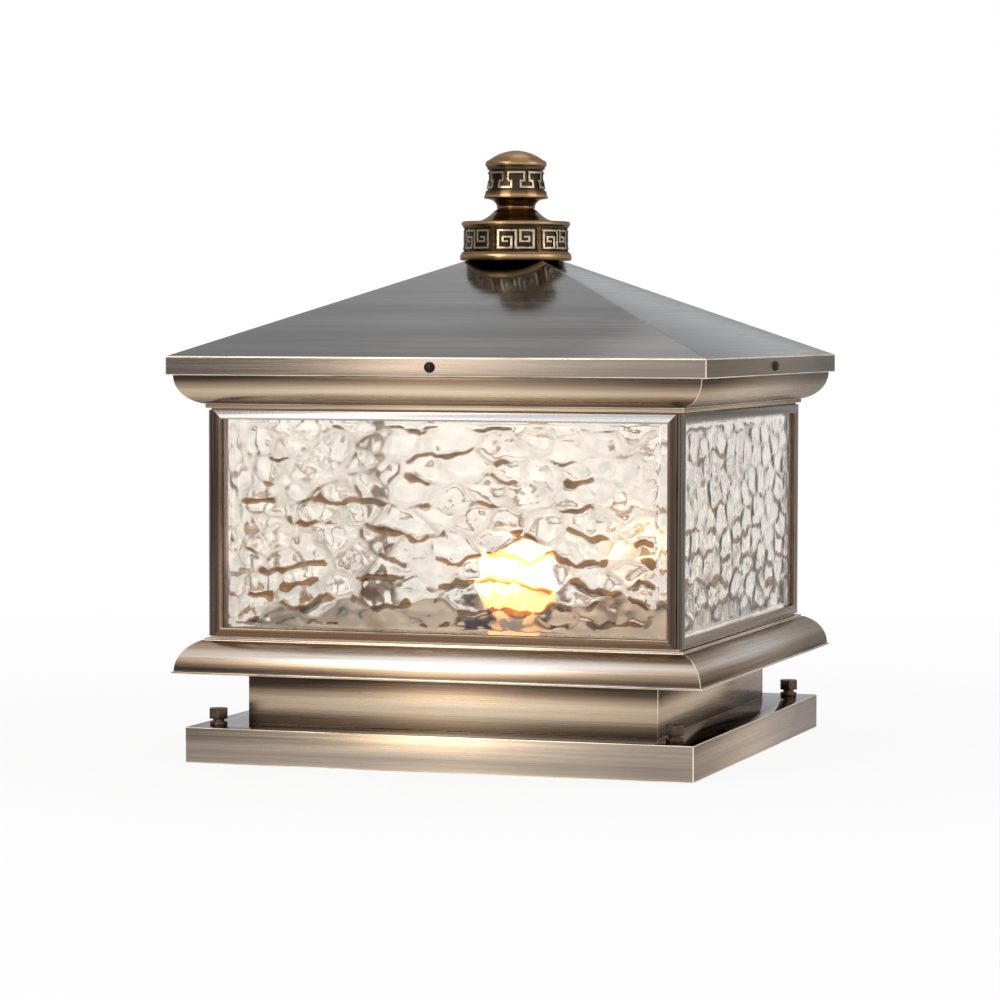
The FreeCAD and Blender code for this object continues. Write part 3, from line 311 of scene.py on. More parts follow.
# Where a share follows the colours, the middle of each face is painted lighter as a highlight.
bronze = brushed("brushed_bronze", DARK_BRONZE, MID_BRONZE, (0.46, 0.4, 0.35), middle_highlight=0.3)
base_metal = brushed("base_bronze", (0.19, 0.155, 0.13), (0.43, 0.35, 0.28), (0.8, 0.65, 0.5), middle_highlight=0.5)
bronze_inside = brushed("bronze_inside", (0.24, 0.1, 0.04), (0.42, 0.2, 0.085), (0.6, 0.33, 0.15), metallic=0.25,
                        gloss=0.42)
tray_metal = brushed("tray_brass", (0.66, 0.46, 0.27), (0.86, 0.7, 0.5), (0.95, 0.86, 0.7), metallic=0.2, gloss=0.3)
roof_metal = brushed("roof_bronze", (0.09, 0.084, 0.079), (0.14, 0.133, 0.127), (0.23, 0.22, 0.212), gloss=0.09, middle_highlight=0.45,
                     sheen=GREY_SHEEN)
hip_metal = brushed("roof_fold_bronze", (0.14, 0.126, 0.116), (0.26, 0.235, 0.215), (0.46, 0.42, 0.385))
base_top_metal = brushed("base_top_bronze", (0.05, 0.038, 0.032), (0.085, 0.066, 0.056), (0.13, 0.105, 0.09), gloss=0.03,
                         sheen=GREY_SHEEN)
worn_edge = worn("worn_edge", (0.4, 0.3, 0.2), (1.0, 0.86, 0.68))
# The neck's bands paint its top dark as the soffit's shadow and its middle lighter as a highlight.
neck_metal = brushed("neck_bronze", WARM_DARK, WARM_MID, WARM_PALE, middle_highlight=0.35, highlight_and_shade_bands=[
    (19.4, 0.35), (21.5, 0.45), (24.0, 0.6), (29.0, 0.75), (35.0, 0.8), (38.5, 0.45), (41.0, 0.05), (43.5, 0.0), (48.7, 0.0)])
# The front frame's top member is painted light as a highlight; the other frames' are not.
frame_front_highlit_metal = framed("frame_front_bronze", (0.62, 0.62, 0.64))
frame_metal = framed("frame_bronze", (0.16, 0.13, 0.11))
post_metal = grooved("corner_post_bronze")
# The skirt's bands paint a highlight round the middle of the roll and on the top fillet, with painted shade at its
# foot and in the crease below the fillet.
skirt_metal = brushed("skirt_bronze", WARM_DARK, WARM_MID, (0.9, 0.86, 0.82), middle_highlight=0.35, highlight_and_shade_bands=[
    (49.9, 0.1), (51.5, 0.12), (53.0, 0.35), (55.5, 0.5), (58.5, 0.85), (61.5, 0.8), (64.5, 0.55), (66.0, 0.25),
    (66.4, 0.1), (66.8, 0.8), (67.4, 0.9)])
# The cornice's bands paint highlights on the fillet and the middle of the cove, with painted shade under the cove and
# at its top.
cornice_metal = brushed("cornice_bronze", WARM_DARK, WARM_MID, WARM_PALE, middle_highlight=0.4, highlight_and_shade_bands=[
    (191.9, 0.15), (192.6, 0.85), (193.3, 0.7), (194.3, 0.1), (195.5, 0.45), (198.5, 0.8), (202.0, 0.85), (204.5, 0.6),
    (207.0, 0.2), (209.8, 0.05)])
# The finial's bands paint highlights on its rims, rings and flare, with painted shade beside them and round the fret.
FINIAL_HIGHLIGHT_AND_SHADE_BANDS = [(at + 272.97, shade) for at, shade in (
    (0.0, 0.45), (1.0, 0.5), (2.6, 0.8), (4.2, 0.35), (5.2, 0.2), (18.2, 0.2), (19.2, 0.25), (20.6, 0.8), (21.8, 0.3),
    (23.5, 0.45), (26.5, 0.55), (28.2, 0.2), (29.4, 0.75), (31.0, 0.3), (34.0, 0.25), (35.0, 0.3), (36.2, 0.8), (38.4, 0.3),
    (40.0, 0.15), (50.8, 0.15), (52.4, 0.35), (54.2, 0.75), (56.4, 0.35), (57.5, 0.55), (61.9, 0.6))]
finial_metal = brushed("finial_bronze", (0.03, 0.02, 0.012), (0.2, 0.12, 0.058), (0.66, 0.43, 0.22), "turned",
                       FINIAL_HIGHLIGHT_AND_SHADE_BANDS, 0.16)
fret_metal = brushed("fret_bronze", (0.28, 0.2, 0.12), (0.54, 0.42, 0.29), (0.94, 0.85, 0.7), "turned", gloss=0.16)
recess_metal = plain_metal("recess_patina", (0.018, 0.013, 0.009), (0.08, 0.055, 0.036), 0.32)
frame_edge = worn("frame_edge", (0.07, 0.05, 0.038), (0.4, 0.31, 0.23))
nut_edge = worn("nut_edge", (0.1, 0.07, 0.05), (0.36, 0.26, 0.19))
nut_metal = plain_metal("nut_bronze", (0.05, 0.035, 0.027), (0.13, 0.09, 0.065), 0.32)
screw_metal = plain_metal("screw_black", (0.012, 0.01, 0.009), (0.04, 0.033, 0.03), 0.35)
zinc = plain_metal("zinc_plate", (0.42, 0.43, 0.44), (0.62, 0.63, 0.64), 0.35)
brass = plain_metal("contact_brass", (0.5, 0.34, 0.13), (0.72, 0.52, 0.24), 0.3)
cap_metal = plain_metal("lamp_cap_metal", (0.6, 0.6, 0.6), (0.78, 0.77, 0.75), 0.25)
pane_seal = moulded("pane_seal_rubber", (0.2, 0.15, 0.11), (0.3, 0.23, 0.17), 0.6)
rubber = moulded("seal_rubber", (0.012, 0.012, 0.012), (0.03, 0.03, 0.03), 0.65)
porcelain = moulded("porcelain", (0.72, 0.7, 0.65), (0.82, 0.81, 0.77), 0.2)
white_plastic = moulded("white_plastic", (0.62, 0.62, 0.6), (0.75, 0.75, 0.73), 0.4)
brown_sleeve = moulded("brown_sleeve", (0.12, 0.045, 0.02), (0.18, 0.07, 0.03), 0.4)
blue_sleeve = moulded("blue_sleeve", (0.02, 0.08, 0.35), (0.03, 0.12, 0.45), 0.4)
green_sleeve = moulded("green_yellow_sleeve", (0.08, 0.3, 0.05), (0.5, 0.5, 0.05), 0.4)
glass = clear_glass()
globe_glow = lit_globe()


# Pieces
def place_piece(name, bm, body, finishes, nodes, smooth=30):
    """Makes one finished object of a mesh, riding on its body in place of the nodes."""
    mesh = bpy.data.meshes.new(name)
    bm.to_mesh(mesh)
    bm.free()
    mesh.shade_smooth()
    mesh.set_sharp_from_angle(angle=math.radians(smooth))
    for finish in finishes:
        mesh.materials.append(finish)
    piece = bpy.data.objects.new(name, mesh)
    bpy.context.scene.collection.objects.link(piece)
    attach(piece, body)
    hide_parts(*nodes)
    return piece


def arc(start, end, swell, steps):
    """Points of an arc between two outline points; it swells to the left by a share of its chord."""
    first, last = Vector(start), Vector(end)
    chord = last - first
    rise = abs(swell) * chord.length
    radius = chord.length ** 2 / (8 * rise) + rise / 2
    outwards = Vector((-chord.y, chord.x)).normalized() * math.copysign(1, swell)
    centre = (first + last) / 2 - outwards * (radius - rise)
    angle = (first - centre).angle_signed(last - centre)
    points = []
    for step in range(1, steps):
        spoke = first - centre
        spoke.rotate(Matrix.Rotation(-angle * step / steps, 2))
        points.append(tuple(centre + spoke))
    return [tuple(first)] + points + [tuple(last)]


def turned(outline, steps, turn=0.0, closed=True):
    """Spins an outline of (distance from the middle, height) once round the upright axis."""
    bm = bmesh.new()
    way = Vector((math.cos(turn), math.sin(turn), 0))
    if steps == SQUARE:
        way = Vector((1, -1, 0))
    points = [bm.verts.new((way * across + Vector((0, 0, height))) * MM) for across, height in outline]
    for start, end in zip(points, points[1:]):
        bm.edges.new((start, end))
    if closed:
        bm.edges.new((points[-1], points[0]))
    bmesh.ops.spin(bm, geom=bm.verts[:] + bm.edges[:], cent=(0, 0, 0), axis=(0, 0, 1),
                   angle=math.tau, steps=steps, use_merge=True)
    bmesh.ops.remove_doubles(bm, verts=bm.verts, dist=TINY)
    bmesh.ops.recalc_face_normals(bm, faces=bm.faces)
    return bm


def soften(bm, width, segments=2, least=25):
    """Rounds every fold, and marks the rounded faces as worn."""
    folds = [e for e in bm.edges if e.is_manifold and e.calc_face_angle() > math.radians(least)]
    made = bmesh.ops.bevel(bm, geom=folds, offset=width * MM, offset_type="OFFSET", affect="EDGES",
                           segments=segments, profile=0.5, material=-1, clamp_overlap=True)
    for face in made["faces"]:
        face.material_index = 1
    return bm


def drilled(piece, radius, places, along):
    """Drills round holes through a piece; places are points on their axes."""
    for place in places:
        bm = bmesh.new()
        bmesh.ops.create_cone(bm, cap_ends=True, segments=24, radius1=radius * MM, radius2=radius * MM, depth=12 * MM)
        turn = Vector((0, 0, 1)).rotation_difference(Vector(along(place))).to_matrix()
        bmesh.ops.rotate(bm, verts=bm.verts, matrix=turn)
        bmesh.ops.translate(bm, verts=bm.verts, vec=Vector(place) * MM)
        mesh = bpy.data.meshes.new("drill")
        bm.to_mesh(mesh)
        bm.free()
        drill = bpy.data.objects.new("drill", mesh)
        bpy.context.scene.collection.objects.link(drill)
        cut = piece.modifiers.new("cut", "BOOLEAN")
        cut.object = drill
        cut.operation = "DIFFERENCE"
        cut.solver = "EXACT"
        sight = bpy.context.evaluated_depsgraph_get()
        result = bpy.data.meshes.new_from_object(piece.evaluated_get(sight))
        piece.modifiers.clear()
        result.name = piece.name + "_drilled"
        piece.data = result
        bpy.data.objects.remove(drill)
    return piece


# Base, neck and mouldings
BASE_HALF, BASE_TOP, SHEET = 142.1, 19.4, 1.6
NECK_HALF, NECK_TOP = 115.7, 48.7
SOFFIT_HALF, SKIRT_LOW = 147.95, 49.9
SKIRT_HALF, SKIRT_SHOULDER_HALF, SKIRT_SHOULDER = 147.0, 135.5, 66.1
SKIRT_FILLET_HALF, SKIRT_TOP, WEB_EDGE = 134.2, 67.4, 108.8
CORNICE_LOW, CORNICE_FILLET_HALF, CORNICE_SHOULDER = 191.9, 133.6, 194.3
CORNICE_SHOULDER_HALF, CORNICE_HALF, CORNICE_TOP = 134.3, 147.0, 209.8
UPSTAND_HALF, UPSTAND_TOP, UPSTAND_EDGE = 141.0, 219.2, 133.0
ROOF_HALF, EAVES_TOP, ROOF_APEX, CAP_HALF = 150.0, 219.9, 282.0, 10.0
NUT_PLACE = 128.24
SCREW_HEIGHT = 214.85


def on_faces(bm, index, test):
    for face in bm.faces:
        if face.material_index == 0 and test(face.normal):
            face.material_index = index


def make_base():
    bm = turned([
        (95.0, BASE_TOP - SHEET), (BASE_HALF - SHEET, BASE_TOP - SHEET), (BASE_HALF - SHEET, 0),
        (BASE_HALF, 0), (BASE_HALF, BASE_TOP), (95.0, BASE_TOP),
    ], SQUARE)
    soften(bm, 0.5)
    on_faces(bm, 2, lambda normal: normal.z > 0.9)
    box = place_piece("base_shell", bm, "base", [base_metal, worn_edge, base_top_metal], ["base_box"])
    corners = [(x * NUT_PLACE, y * NUT_PLACE, BASE_TOP) for x in (-1, 1) for y in (-1, 1)]
    drilled(box, 3.0, corners, lambda place: (0, 0, 1))


def make_neck():
    bm = turned([
        (102.1, BASE_TOP), (NECK_HALF, BASE_TOP), (NECK_HALF, NECK_TOP), (NECK_HALF - SHEET, NECK_TOP),
        (NECK_HALF - SHEET, BASE_TOP + SHEET), (102.1, BASE_TOP + SHEET),
    ], SQUARE)
    place_piece("neck_shell", soften(bm, 0.35), "base", [neck_metal, worn_edge], ["neck"])
    bm = turned([
        (NECK_HALF - SHEET, NECK_TOP), (SOFFIT_HALF, NECK_TOP), (SOFFIT_HALF, SKIRT_LOW), (NECK_HALF - SHEET, SKIRT_LOW),
    ], SQUARE)
    place_piece("soffit_ring", soften(bm, 0.4), "base", [bronze, worn_edge], ["soffit_plate"])


def make_skirt():
    bm = turned([
        (WEB_EDGE, SKIRT_TOP - SHEET), (SKIRT_FILLET_HALF - SHEET, SKIRT_TOP - SHEET), (SKIRT_HALF - SHEET, SKIRT_LOW),
    ] + arc((SKIRT_HALF, SKIRT_LOW), (SKIRT_SHOULDER_HALF, SKIRT_SHOULDER), -0.158, 12) + [
        (SKIRT_FILLET_HALF, SKIRT_SHOULDER), (SKIRT_FILLET_HALF, SKIRT_TOP), (WEB_EDGE, SKIRT_TOP),
    ], SQUARE)
    place_piece("skirt_roll", soften(bm, 0.3), "base", [skirt_metal, worn_edge], ["skirt_moulding"])


def make_cornice():
    bm = turned([
        (WEB_EDGE, CORNICE_LOW), (CORNICE_FILLET_HALF, CORNICE_LOW), (CORNICE_FILLET_HALF, CORNICE_SHOULDER),
    ] + arc((CORNICE_SHOULDER_HALF, CORNICE_SHOULDER), (CORNICE_HALF, CORNICE_TOP), -0.179, 12) + [
        (UPSTAND_HALF, CORNICE_TOP), (UPSTAND_HALF, UPSTAND_TOP), (UPSTAND_EDGE, UPSTAND_TOP),
        (UPSTAND_EDGE, UPSTAND_TOP - SHEET), (UPSTAND_HALF - SHEET, UPSTAND_TOP - SHEET),
        (UPSTAND_HALF - SHEET, CORNICE_TOP - SHEET), (CORNICE_HALF - SHEET * 2, CORNICE_TOP - SHEET),
        (CORNICE_FILLET_HALF - SHEET, CORNICE_LOW + SHEET), (WEB_EDGE, CORNICE_LOW + SHEET),
    ], SQUARE)
    place_piece("cornice_cove", soften(bm, 0.25), "base", [cornice_metal, worn_edge], ["cornice"])


def roof_underside(half):
    slope = (ROOF_APEX - EAVES_TOP) / ROOF_HALF
    return ROOF_APEX - half * slope - SHEET * math.hypot(1, slope)


def make_roof():
    flat = ROOF_APEX - CAP_HALF * (ROOF_APEX - EAVES_TOP) / ROOF_HALF
    inner = ROOF_HALF - SHEET
    bm = turned([
        (inner, CORNICE_TOP), (ROOF_HALF, CORNICE_TOP), (ROOF_HALF, EAVES_TOP), (CAP_HALF, flat), (3.3, flat),
        (3.3, flat - 3.0), (CAP_HALF, flat - 3.0), (CAP_HALF, roof_underside(CAP_HALF)),
        (inner, roof_underside(inner)),
    ], SQUARE)
    soften(bm, 0.5, 3, 20)
    on_faces(bm, 2, lambda normal: 0.5 < normal.z < 0.98)
    for face in bm.faces:
        if face.material_index == 1 and face.normal.z > 0.3 and face.calc_center_median().z > (EAVES_TOP + 1) * MM:
            face.material_index = 3
    roof = place_piece("roof_shell", bm, "lid", [bronze, worn_edge, roof_metal, hip_metal], ["roof"])
    places = [(0, -ROOF_HALF, SCREW_HEIGHT), (ROOF_HALF, 0, SCREW_HEIGHT),
              (0, ROOF_HALF, SCREW_HEIGHT), (-ROOF_HALF, 0, SCREW_HEIGHT)]
    drilled(roof, 1.55, places, lambda place: (place[0], place[1], 0))


# Finial with its frets
PLAIN, LINE, FIELD = 0, 1, 2
KEY_PAIR = (
    ".................",
    "#########.#######",
    "#.......#.#.....#",
    "#.......#.#.....#",
    "#.#####.#.#.###.#",
    "#.#...#.#.#...#.#",
    "#.###.#.#.#####.#",
    "#.....#.#.......#",
    "#.....#.#.......#",
    "#######.#########",
    ".................",
)
KEY_GAP = ".==."
BELL_FRET = (
    "............",
    "###..#######",
    "..#..#......",
    "..#..#......",
    "..#..#......",
    "###..###....",
    "#......#....",
    "#......#....",
    "########....",
    "............",
)
DRUM_LOW, DRUM_HEIGHT = 272.97, 22.2
KEY_PAIRS, BELLS = 7, 8
KEY_LOW, KEY_ROW = 5.0, 1.2
BELL_LOW, BELL_ROW = 39.1, 1.18
FRET_DEPTH, FRET_ROUND = 0.75, 0.26
VIEW_TURN = math.radians(17.5) - QUARTER


def with_rows(outline, low, row, count):
    """Adds a point to an outline at each row of a fret."""
    heights = [low + row * index for index in range(count + 1)]
    result = [outline[0]]
    for start, end in zip(outline, outline[1:]):
        for height in heights:
            if start[1] + TINY < height < end[1] - TINY:
                share = (height - start[1]) / (end[1] - start[1])
                result.append((start[0] + (end[0] - start[0]) * share, height))
        result.append(end)
    return result


def cut_fret(bm, rows, low, row, columns, start, inner):
    """Sinks the field between the raised lines of a fret that runs round a turned piece."""
    step = math.tau / columns
    field = []
    for face in bm.faces:
        middle = face.calc_center_median() / MM
        up = (middle.z - DRUM_LOW - low) / row
        if math.hypot(middle.x, middle.y) < inner or not 0 < up < len(rows):
            continue
        column = int(((math.atan2(middle.y, middle.x) - start) % math.tau) / step) % len(rows[0])
        mark = rows[len(rows) - 1 - int(up)][column]
        if mark == "#":
            face.material_index = LINE
        if mark == ".":
            face.material_index = FIELD
            field.append(face)
    sunk = bmesh.ops.extrude_face_region(bm, geom=field)["geom"]
    bmesh.ops.delete(bm, geom=field, context="FACES")
    for vert in sunk:
        if isinstance(vert, bmesh.types.BMVert):
            reach = math.hypot(vert.co.x, vert.co.y)
            share = (reach - FRET_DEPTH * MM) / reach
            vert.co.x *= share
            vert.co.y *= share
    rims = [e for e in bm.edges if e.is_manifold and len({f.material_index for f in e.link_faces}) > 1
            and e.calc_face_angle() > math.radians(50)]
    bmesh.ops.bevel(bm, geom=rims, offset=FRET_ROUND * MM, offset_type="OFFSET", affect="EDGES",
                    segments=1, profile=0.5, material=-1, clamp_overlap=True)
    bmesh.ops.recalc_face_normals(bm, faces=bm.faces)
    return bm


def make_finial():
    columns = KEY_PAIRS * (len(KEY_PAIR[0]) + len(KEY_GAP))
    rows = [line + KEY_GAP for line in KEY_PAIR]
    outside = arc((31.0, 0.2), (30.3, 4.6), -0.17, 7) + [(29.9, 5.0), (29.45, 9.8), (29.5, 18.2), (29.75, 19.0)]
    outside += arc((30.1, 19.5), (29.6, 22.0), -0.3, 6) + [(22.6, DRUM_HEIGHT)]
    outside = with_rows(outside, KEY_LOW, KEY_ROW, len(rows))
    inside = [(3.3, DRUM_HEIGHT), (3.3, 5.89), (8.0, 5.89), (8.0, 17.8), (27.8, 17.8), (27.8, 1.0)]
    start = VIEW_TURN - math.tau / columns * len(KEY_PAIR[0]) / 2
    bm = turned([(across, up + DRUM_LOW) for across, up in outside + inside], columns, start)
    cut_fret(bm, rows, KEY_LOW, KEY_ROW, columns, start, 28.2)
    place_piece("finial_drum_key", bm, "lid", [finial_metal, fret_metal, recess_metal],
                ["finial_drum"])

    columns = BELLS * len(BELL_FRET[0])
    outside = [(3.05, DRUM_HEIGHT)] + arc((21.1, DRUM_HEIGHT), (12.0, 28.1), 0.075, 6)
    outside += arc((10.4, 29.1), (10.6, 30.6), -0.2, 3) + arc((11.1, 31.6), (14.6, 34.4), 0.12, 4)
    outside += arc((17.6, 34.9), (17.6, 36.4), -0.35, 4)
    outside += [(17.2, 38.3), (16.6, 41.0), (16.0, 44.0), (15.8, 46.5), (15.95, 50.9), (16.3, 52.2)]
    outside += arc((16.5, 52.6), (15.6, 56.3), -0.32, 6) + arc((14.9, 56.75), (0, 61.9), -0.075, 10)
    outside = with_rows(outside, BELL_LOW, BELL_ROW, len(BELL_FRET))
    walk = [(0, 46.2), (3.05, 46.2)] + outside
    start = VIEW_TURN - math.tau / columns * 10
    bm = turned([(across, up + DRUM_LOW) for across, up in walk], columns, start, closed=False)
    cut_fret(bm, BELL_FRET, BELL_LOW, BELL_ROW, columns, start, 14.0)
    place_piece("finial_knob_fret", bm, "lid", [finial_metal, fret_metal, recess_metal],
                ["finial_knob"])


# Frames, posts, nuts and screws with softened edges
def softened(name, body, finishes, width):
    """A copy of a node's own shape with its folds rounded."""
    bm = bmesh.new()
    bm.from_mesh(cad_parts[name].data)
    bmesh.ops.remove_doubles(bm, verts=bm.verts, dist=TINY)
    bmesh.ops.dissolve_limit(bm, angle_limit=math.radians(0.5), verts=bm.verts, edges=bm.edges)
    soften(bm, width, 2, 30)
    place_piece(name + "_softened", bm, body, finishes, [name])


def make_softened():
    for side in SIDES:
        face = frame_front_highlit_metal if side == "front" else frame_metal
        softened("window_frame_" + side, "base", [face, frame_edge], 0.18)
        softened("roof_screw_" + side, "screw_" + side, [screw_metal, nut_edge], 0.15)
    for corner in CORNERS:
        softened("corner_post_" + corner, "base", [post_metal, frame_edge], 0.18)
        softened("cap_nut_" + corner, "nut_" + corner, [nut_metal, nut_edge], 0.25)


# Rippled glass
PANE_HALF, PANE_LOW, PANE_HIGH, PANE_FACE, PANE_BACK = 126.0, 68.7, 190.6, 130.5, 127.5
PANE_COLUMNS, PANE_ROWS = 270, 130
PANE_BORDER, PANE_BEVEL = 6.4, 0.8
CELL_WIDTH, CELL_HEIGHT, CELL_SAG, CELL_JITTER = 22.0, 13.0, 0.42, 0.42
RIPPLE_DEPTH, RIPPLE_SIZE, PIT_DEPTH, PIT_SIZE = 0.3, 8.0, 0.05, 2.6
CREASE_WIDTH, REFRACTION_PATCH_SIZE, BORDER_FADE, MEAN_SINK = 0.34, 22.0, 3.0, 0.4


def cell_middles(seed):
    """The middles of the glass's lens-like cells, in offset rows, each moved a little."""
    chance = random.Random(seed)
    middles = []
    for row in range(-1, int((PANE_HIGH - PANE_LOW) / CELL_HEIGHT) + 3):
        for column in range(-1, int(2 * PANE_HALF / CELL_WIDTH) + 3):
            across = (column + row % 2 / 2 + chance.uniform(-CELL_JITTER, CELL_JITTER)) * CELL_WIDTH - PANE_HALF
            up = (row + chance.uniform(-CELL_JITTER, CELL_JITTER)) * CELL_HEIGHT + PANE_LOW
            middles.append((across, up))
    return np.array(middles)


def smooth_step(value):
    held = min(1.0, max(0.0, value))
    return held * held * (3 - 2 * held)


def creases(middles, across, up):
    """How near each point lies to a border between two cells, and how level that border is."""
    wide = (middles[:, 0] - across[:, None]) / CELL_WIDTH
    high = (middles[:, 1] - up[:, None]) / CELL_HEIGHT
    reach = np.sqrt(wide ** 2 + high ** 2)
    order = np.argpartition(reach, 1, axis=1)[:, :2]
    rows = np.arange(len(across))
    first, second = reach[rows, order[:, 0]], reach[rows, order[:, 1]]
    near = np.clip(1 - np.abs(second - first) / CREASE_WIDTH, 0, 1)
    level = np.abs(high[rows, order[:, 0]] - high[rows, order[:, 1]])
    upright = np.abs(wide[rows, order[:, 0]] - wide[rows, order[:, 1]])
    return near, level / (level + upright + TINY), np.minimum(first, second)


def make_pane(side, turn):
    bm = bmesh.new()
    hollow = bm.verts.layers.float.new("hollow")
    stain = bm.verts.layers.float.new("stain")
    bmesh.ops.create_grid(bm, x_segments=PANE_COLUMNS, y_segments=PANE_ROWS, size=0.5)
    bmesh.ops.scale(bm, verts=bm.verts, vec=(2 * PANE_HALF * MM, (PANE_HIGH - PANE_LOW) * MM, 1))
    bmesh.ops.rotate(bm, verts=bm.verts, matrix=Matrix.Rotation(QUARTER, 3, "X"))
    middle = Vector((0, -PANE_FACE, (PANE_LOW + PANE_HIGH) / 2)) * MM
    bmesh.ops.translate(bm, verts=bm.verts, vec=middle)
    fronts = list(bm.verts)
    backs = [g for g in bmesh.ops.extrude_face_region(bm, geom=bm.faces[:])["geom"]
             if isinstance(g, bmesh.types.BMVert)]
    places = np.array([(vert.co.x / MM, vert.co.z / MM) for vert in fronts])
    wobble = np.array([noise.noise_vector(Vector((x, z, turn * 50)) / RIPPLE_SIZE) for x, z in places])
    near, level, dome = creases(cell_middles(turn + 3), places[:, 0] + wobble[:, 0] * 3, places[:, 1] + wobble[:, 1] * 3)
    for index, vert in enumerate(fronts):
        across, up = places[index]
        edge = min(PANE_HALF - abs(across), up - PANE_LOW, PANE_HIGH - up)
        inside = smooth_step((edge - PANE_BORDER) / BORDER_FADE)
        place = Vector((across, up, turn * 50))
        ripple = noise.noise(place / RIPPLE_SIZE) * 0.5 + 0.5
        pit = noise.noise(place / PIT_SIZE) * 0.5 + 0.5
        sunk = min(1.0, dome[index] ** 2 * 1.6) * 0.5 + near[index] * 0.5
        # hollow marks the creases for roughness and a painted refraction tint; the brown painted refraction of the
        # bronze goes on level creases, in patches, more towards the bottom and less near the sides
        lack = 1 - (up - PANE_LOW) / (PANE_HIGH - PANE_LOW)
        patch = noise.noise(place / REFRACTION_PATCH_SIZE + Vector((7, 3, 1))) + lack * 0.9 - 0.28 - (across / PANE_HALF) ** 4 * 0.45
        vert[hollow] = near[index] * inside
        flat = min(1.0, max(0.0, level[index] * 1.8 - 0.5))
        vert[stain] = min(1.0, max(0.0, near[index] * (1.5 + lack) - 0.5)) * flat * min(1.0, max(0.0, patch * 6)) * inside
        vert.co.y += (sunk * CELL_SAG + ripple * RIPPLE_DEPTH + pit * PIT_DEPTH - MEAN_SINK) * inside * MM
    for vert in backs:
        across, up = vert.co.x / MM, vert.co.z / MM
        edge = min(PANE_HALF - abs(across), up - PANE_LOW, PANE_HIGH - up)
        ripple = noise.noise(Vector((across, up, turn * 50 + 20)) / RIPPLE_SIZE) * 0.5 + 0.5
        bevel = PANE_BEVEL * max(0.0, 1 - edge / PANE_BORDER)
        inside = smooth_step((edge - PANE_BORDER) / BORDER_FADE)
        vert[hollow] = vert[stain] = 0.0
        vert.co.y = -(PANE_BACK + bevel + ripple * RIPPLE_DEPTH * inside) * MM
    bmesh.ops.rotate(bm, verts=bm.verts, matrix=Matrix.Rotation(QUARTER * turn, 3, "Z"))
    bmesh.ops.recalc_face_normals(bm, faces=bm.faces)
    place_piece("rippled_pane_" + side, bm, "base", [glass], ["glass_pane_" + side], 60)


# Finishes of the nodes that keep their own shape
def finish_nodes():
    finishes = {
        "pier_gasket": rubber, "mounting_plate": zinc, "cable_grommet": rubber, "mounting_studs": zinc,
        "neck_screws": zinc, "neck_nuts": zinc, "skirt_bolts": screw_metal, "floor_tray": tray_metal,
        "pane_seals": pane_seal, "head_ring": bronze_inside, "post_screws": zinc, "roof_seal": rubber,
        "clinch_nuts": zinc, "finial_rod": zinc, "finial_seal": rubber, "finial_washer": zinc,
        "finial_nut": zinc, "holder_strap": zinc, "lampholder_body": porcelain, "lampholder_shell": cap_metal,
        "centre_contact": brass, "hollow_nipple": zinc, "nipple_locknut": zinc, "bulb_cap": cap_metal,
        "bulb_collar": white_plastic, "led_board": white_plastic, "bulb_globe": globe_glow,
        "terminal_block": white_plastic, "terminal_screws": brass, "live_lead": brown_sleeve,
        "neutral_lead": blue_sleeve, "earth_lead": green_sleeve,
    }
    for name, finish in finishes.items():
        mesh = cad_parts[name].data
        mesh.materials.clear()
        mesh.materials.append(finish)


# Floor, backdrop, light and camera
FLOOR_RADIUS, FADE_NEAR, FADE_FAR = 12.0, 0.3, 1.1
FLOOR_NEAR_SHARE = 0.88
AMBIENT, BACK_TONE, LEFT_TONE = 0.55, 0.6, 0.35


def seen_white(finish):
    """1 on rays from the camera or through glass, and 1 on rays off metal or the face of the glass."""
    eye, gloss, through = [finish.node("ShaderNodeLightPath", output=name)
                           for name in ("Is Camera Ray", "Is Glossy Ray", "Is Transmission Ray")]
    white = eye.math("MAXIMUM", through)
    return white, gloss * (1 - white)


def studio_tone(finish, way):
    """What metal sees of the studio: bright before the lantern and above it, grey low down behind it."""
    back = finish.axis(1, way).ranged(-0.1, 0.55, 0.0, 1.0, "SMOOTHSTEP")
    high = finish.axis(2, way).ranged(0.3, 0.65, 0.0, 1.0, "SMOOTHSTEP")
    left = finish.axis(0, way).ranged(-0.42, -0.32, 1.0, 0.0, "SMOOTHSTEP") * (1 - high)
    return 1 - back * (1 - high) * (1 - BACK_TONE) - (1 - back) * left * (1 - LEFT_TONE)


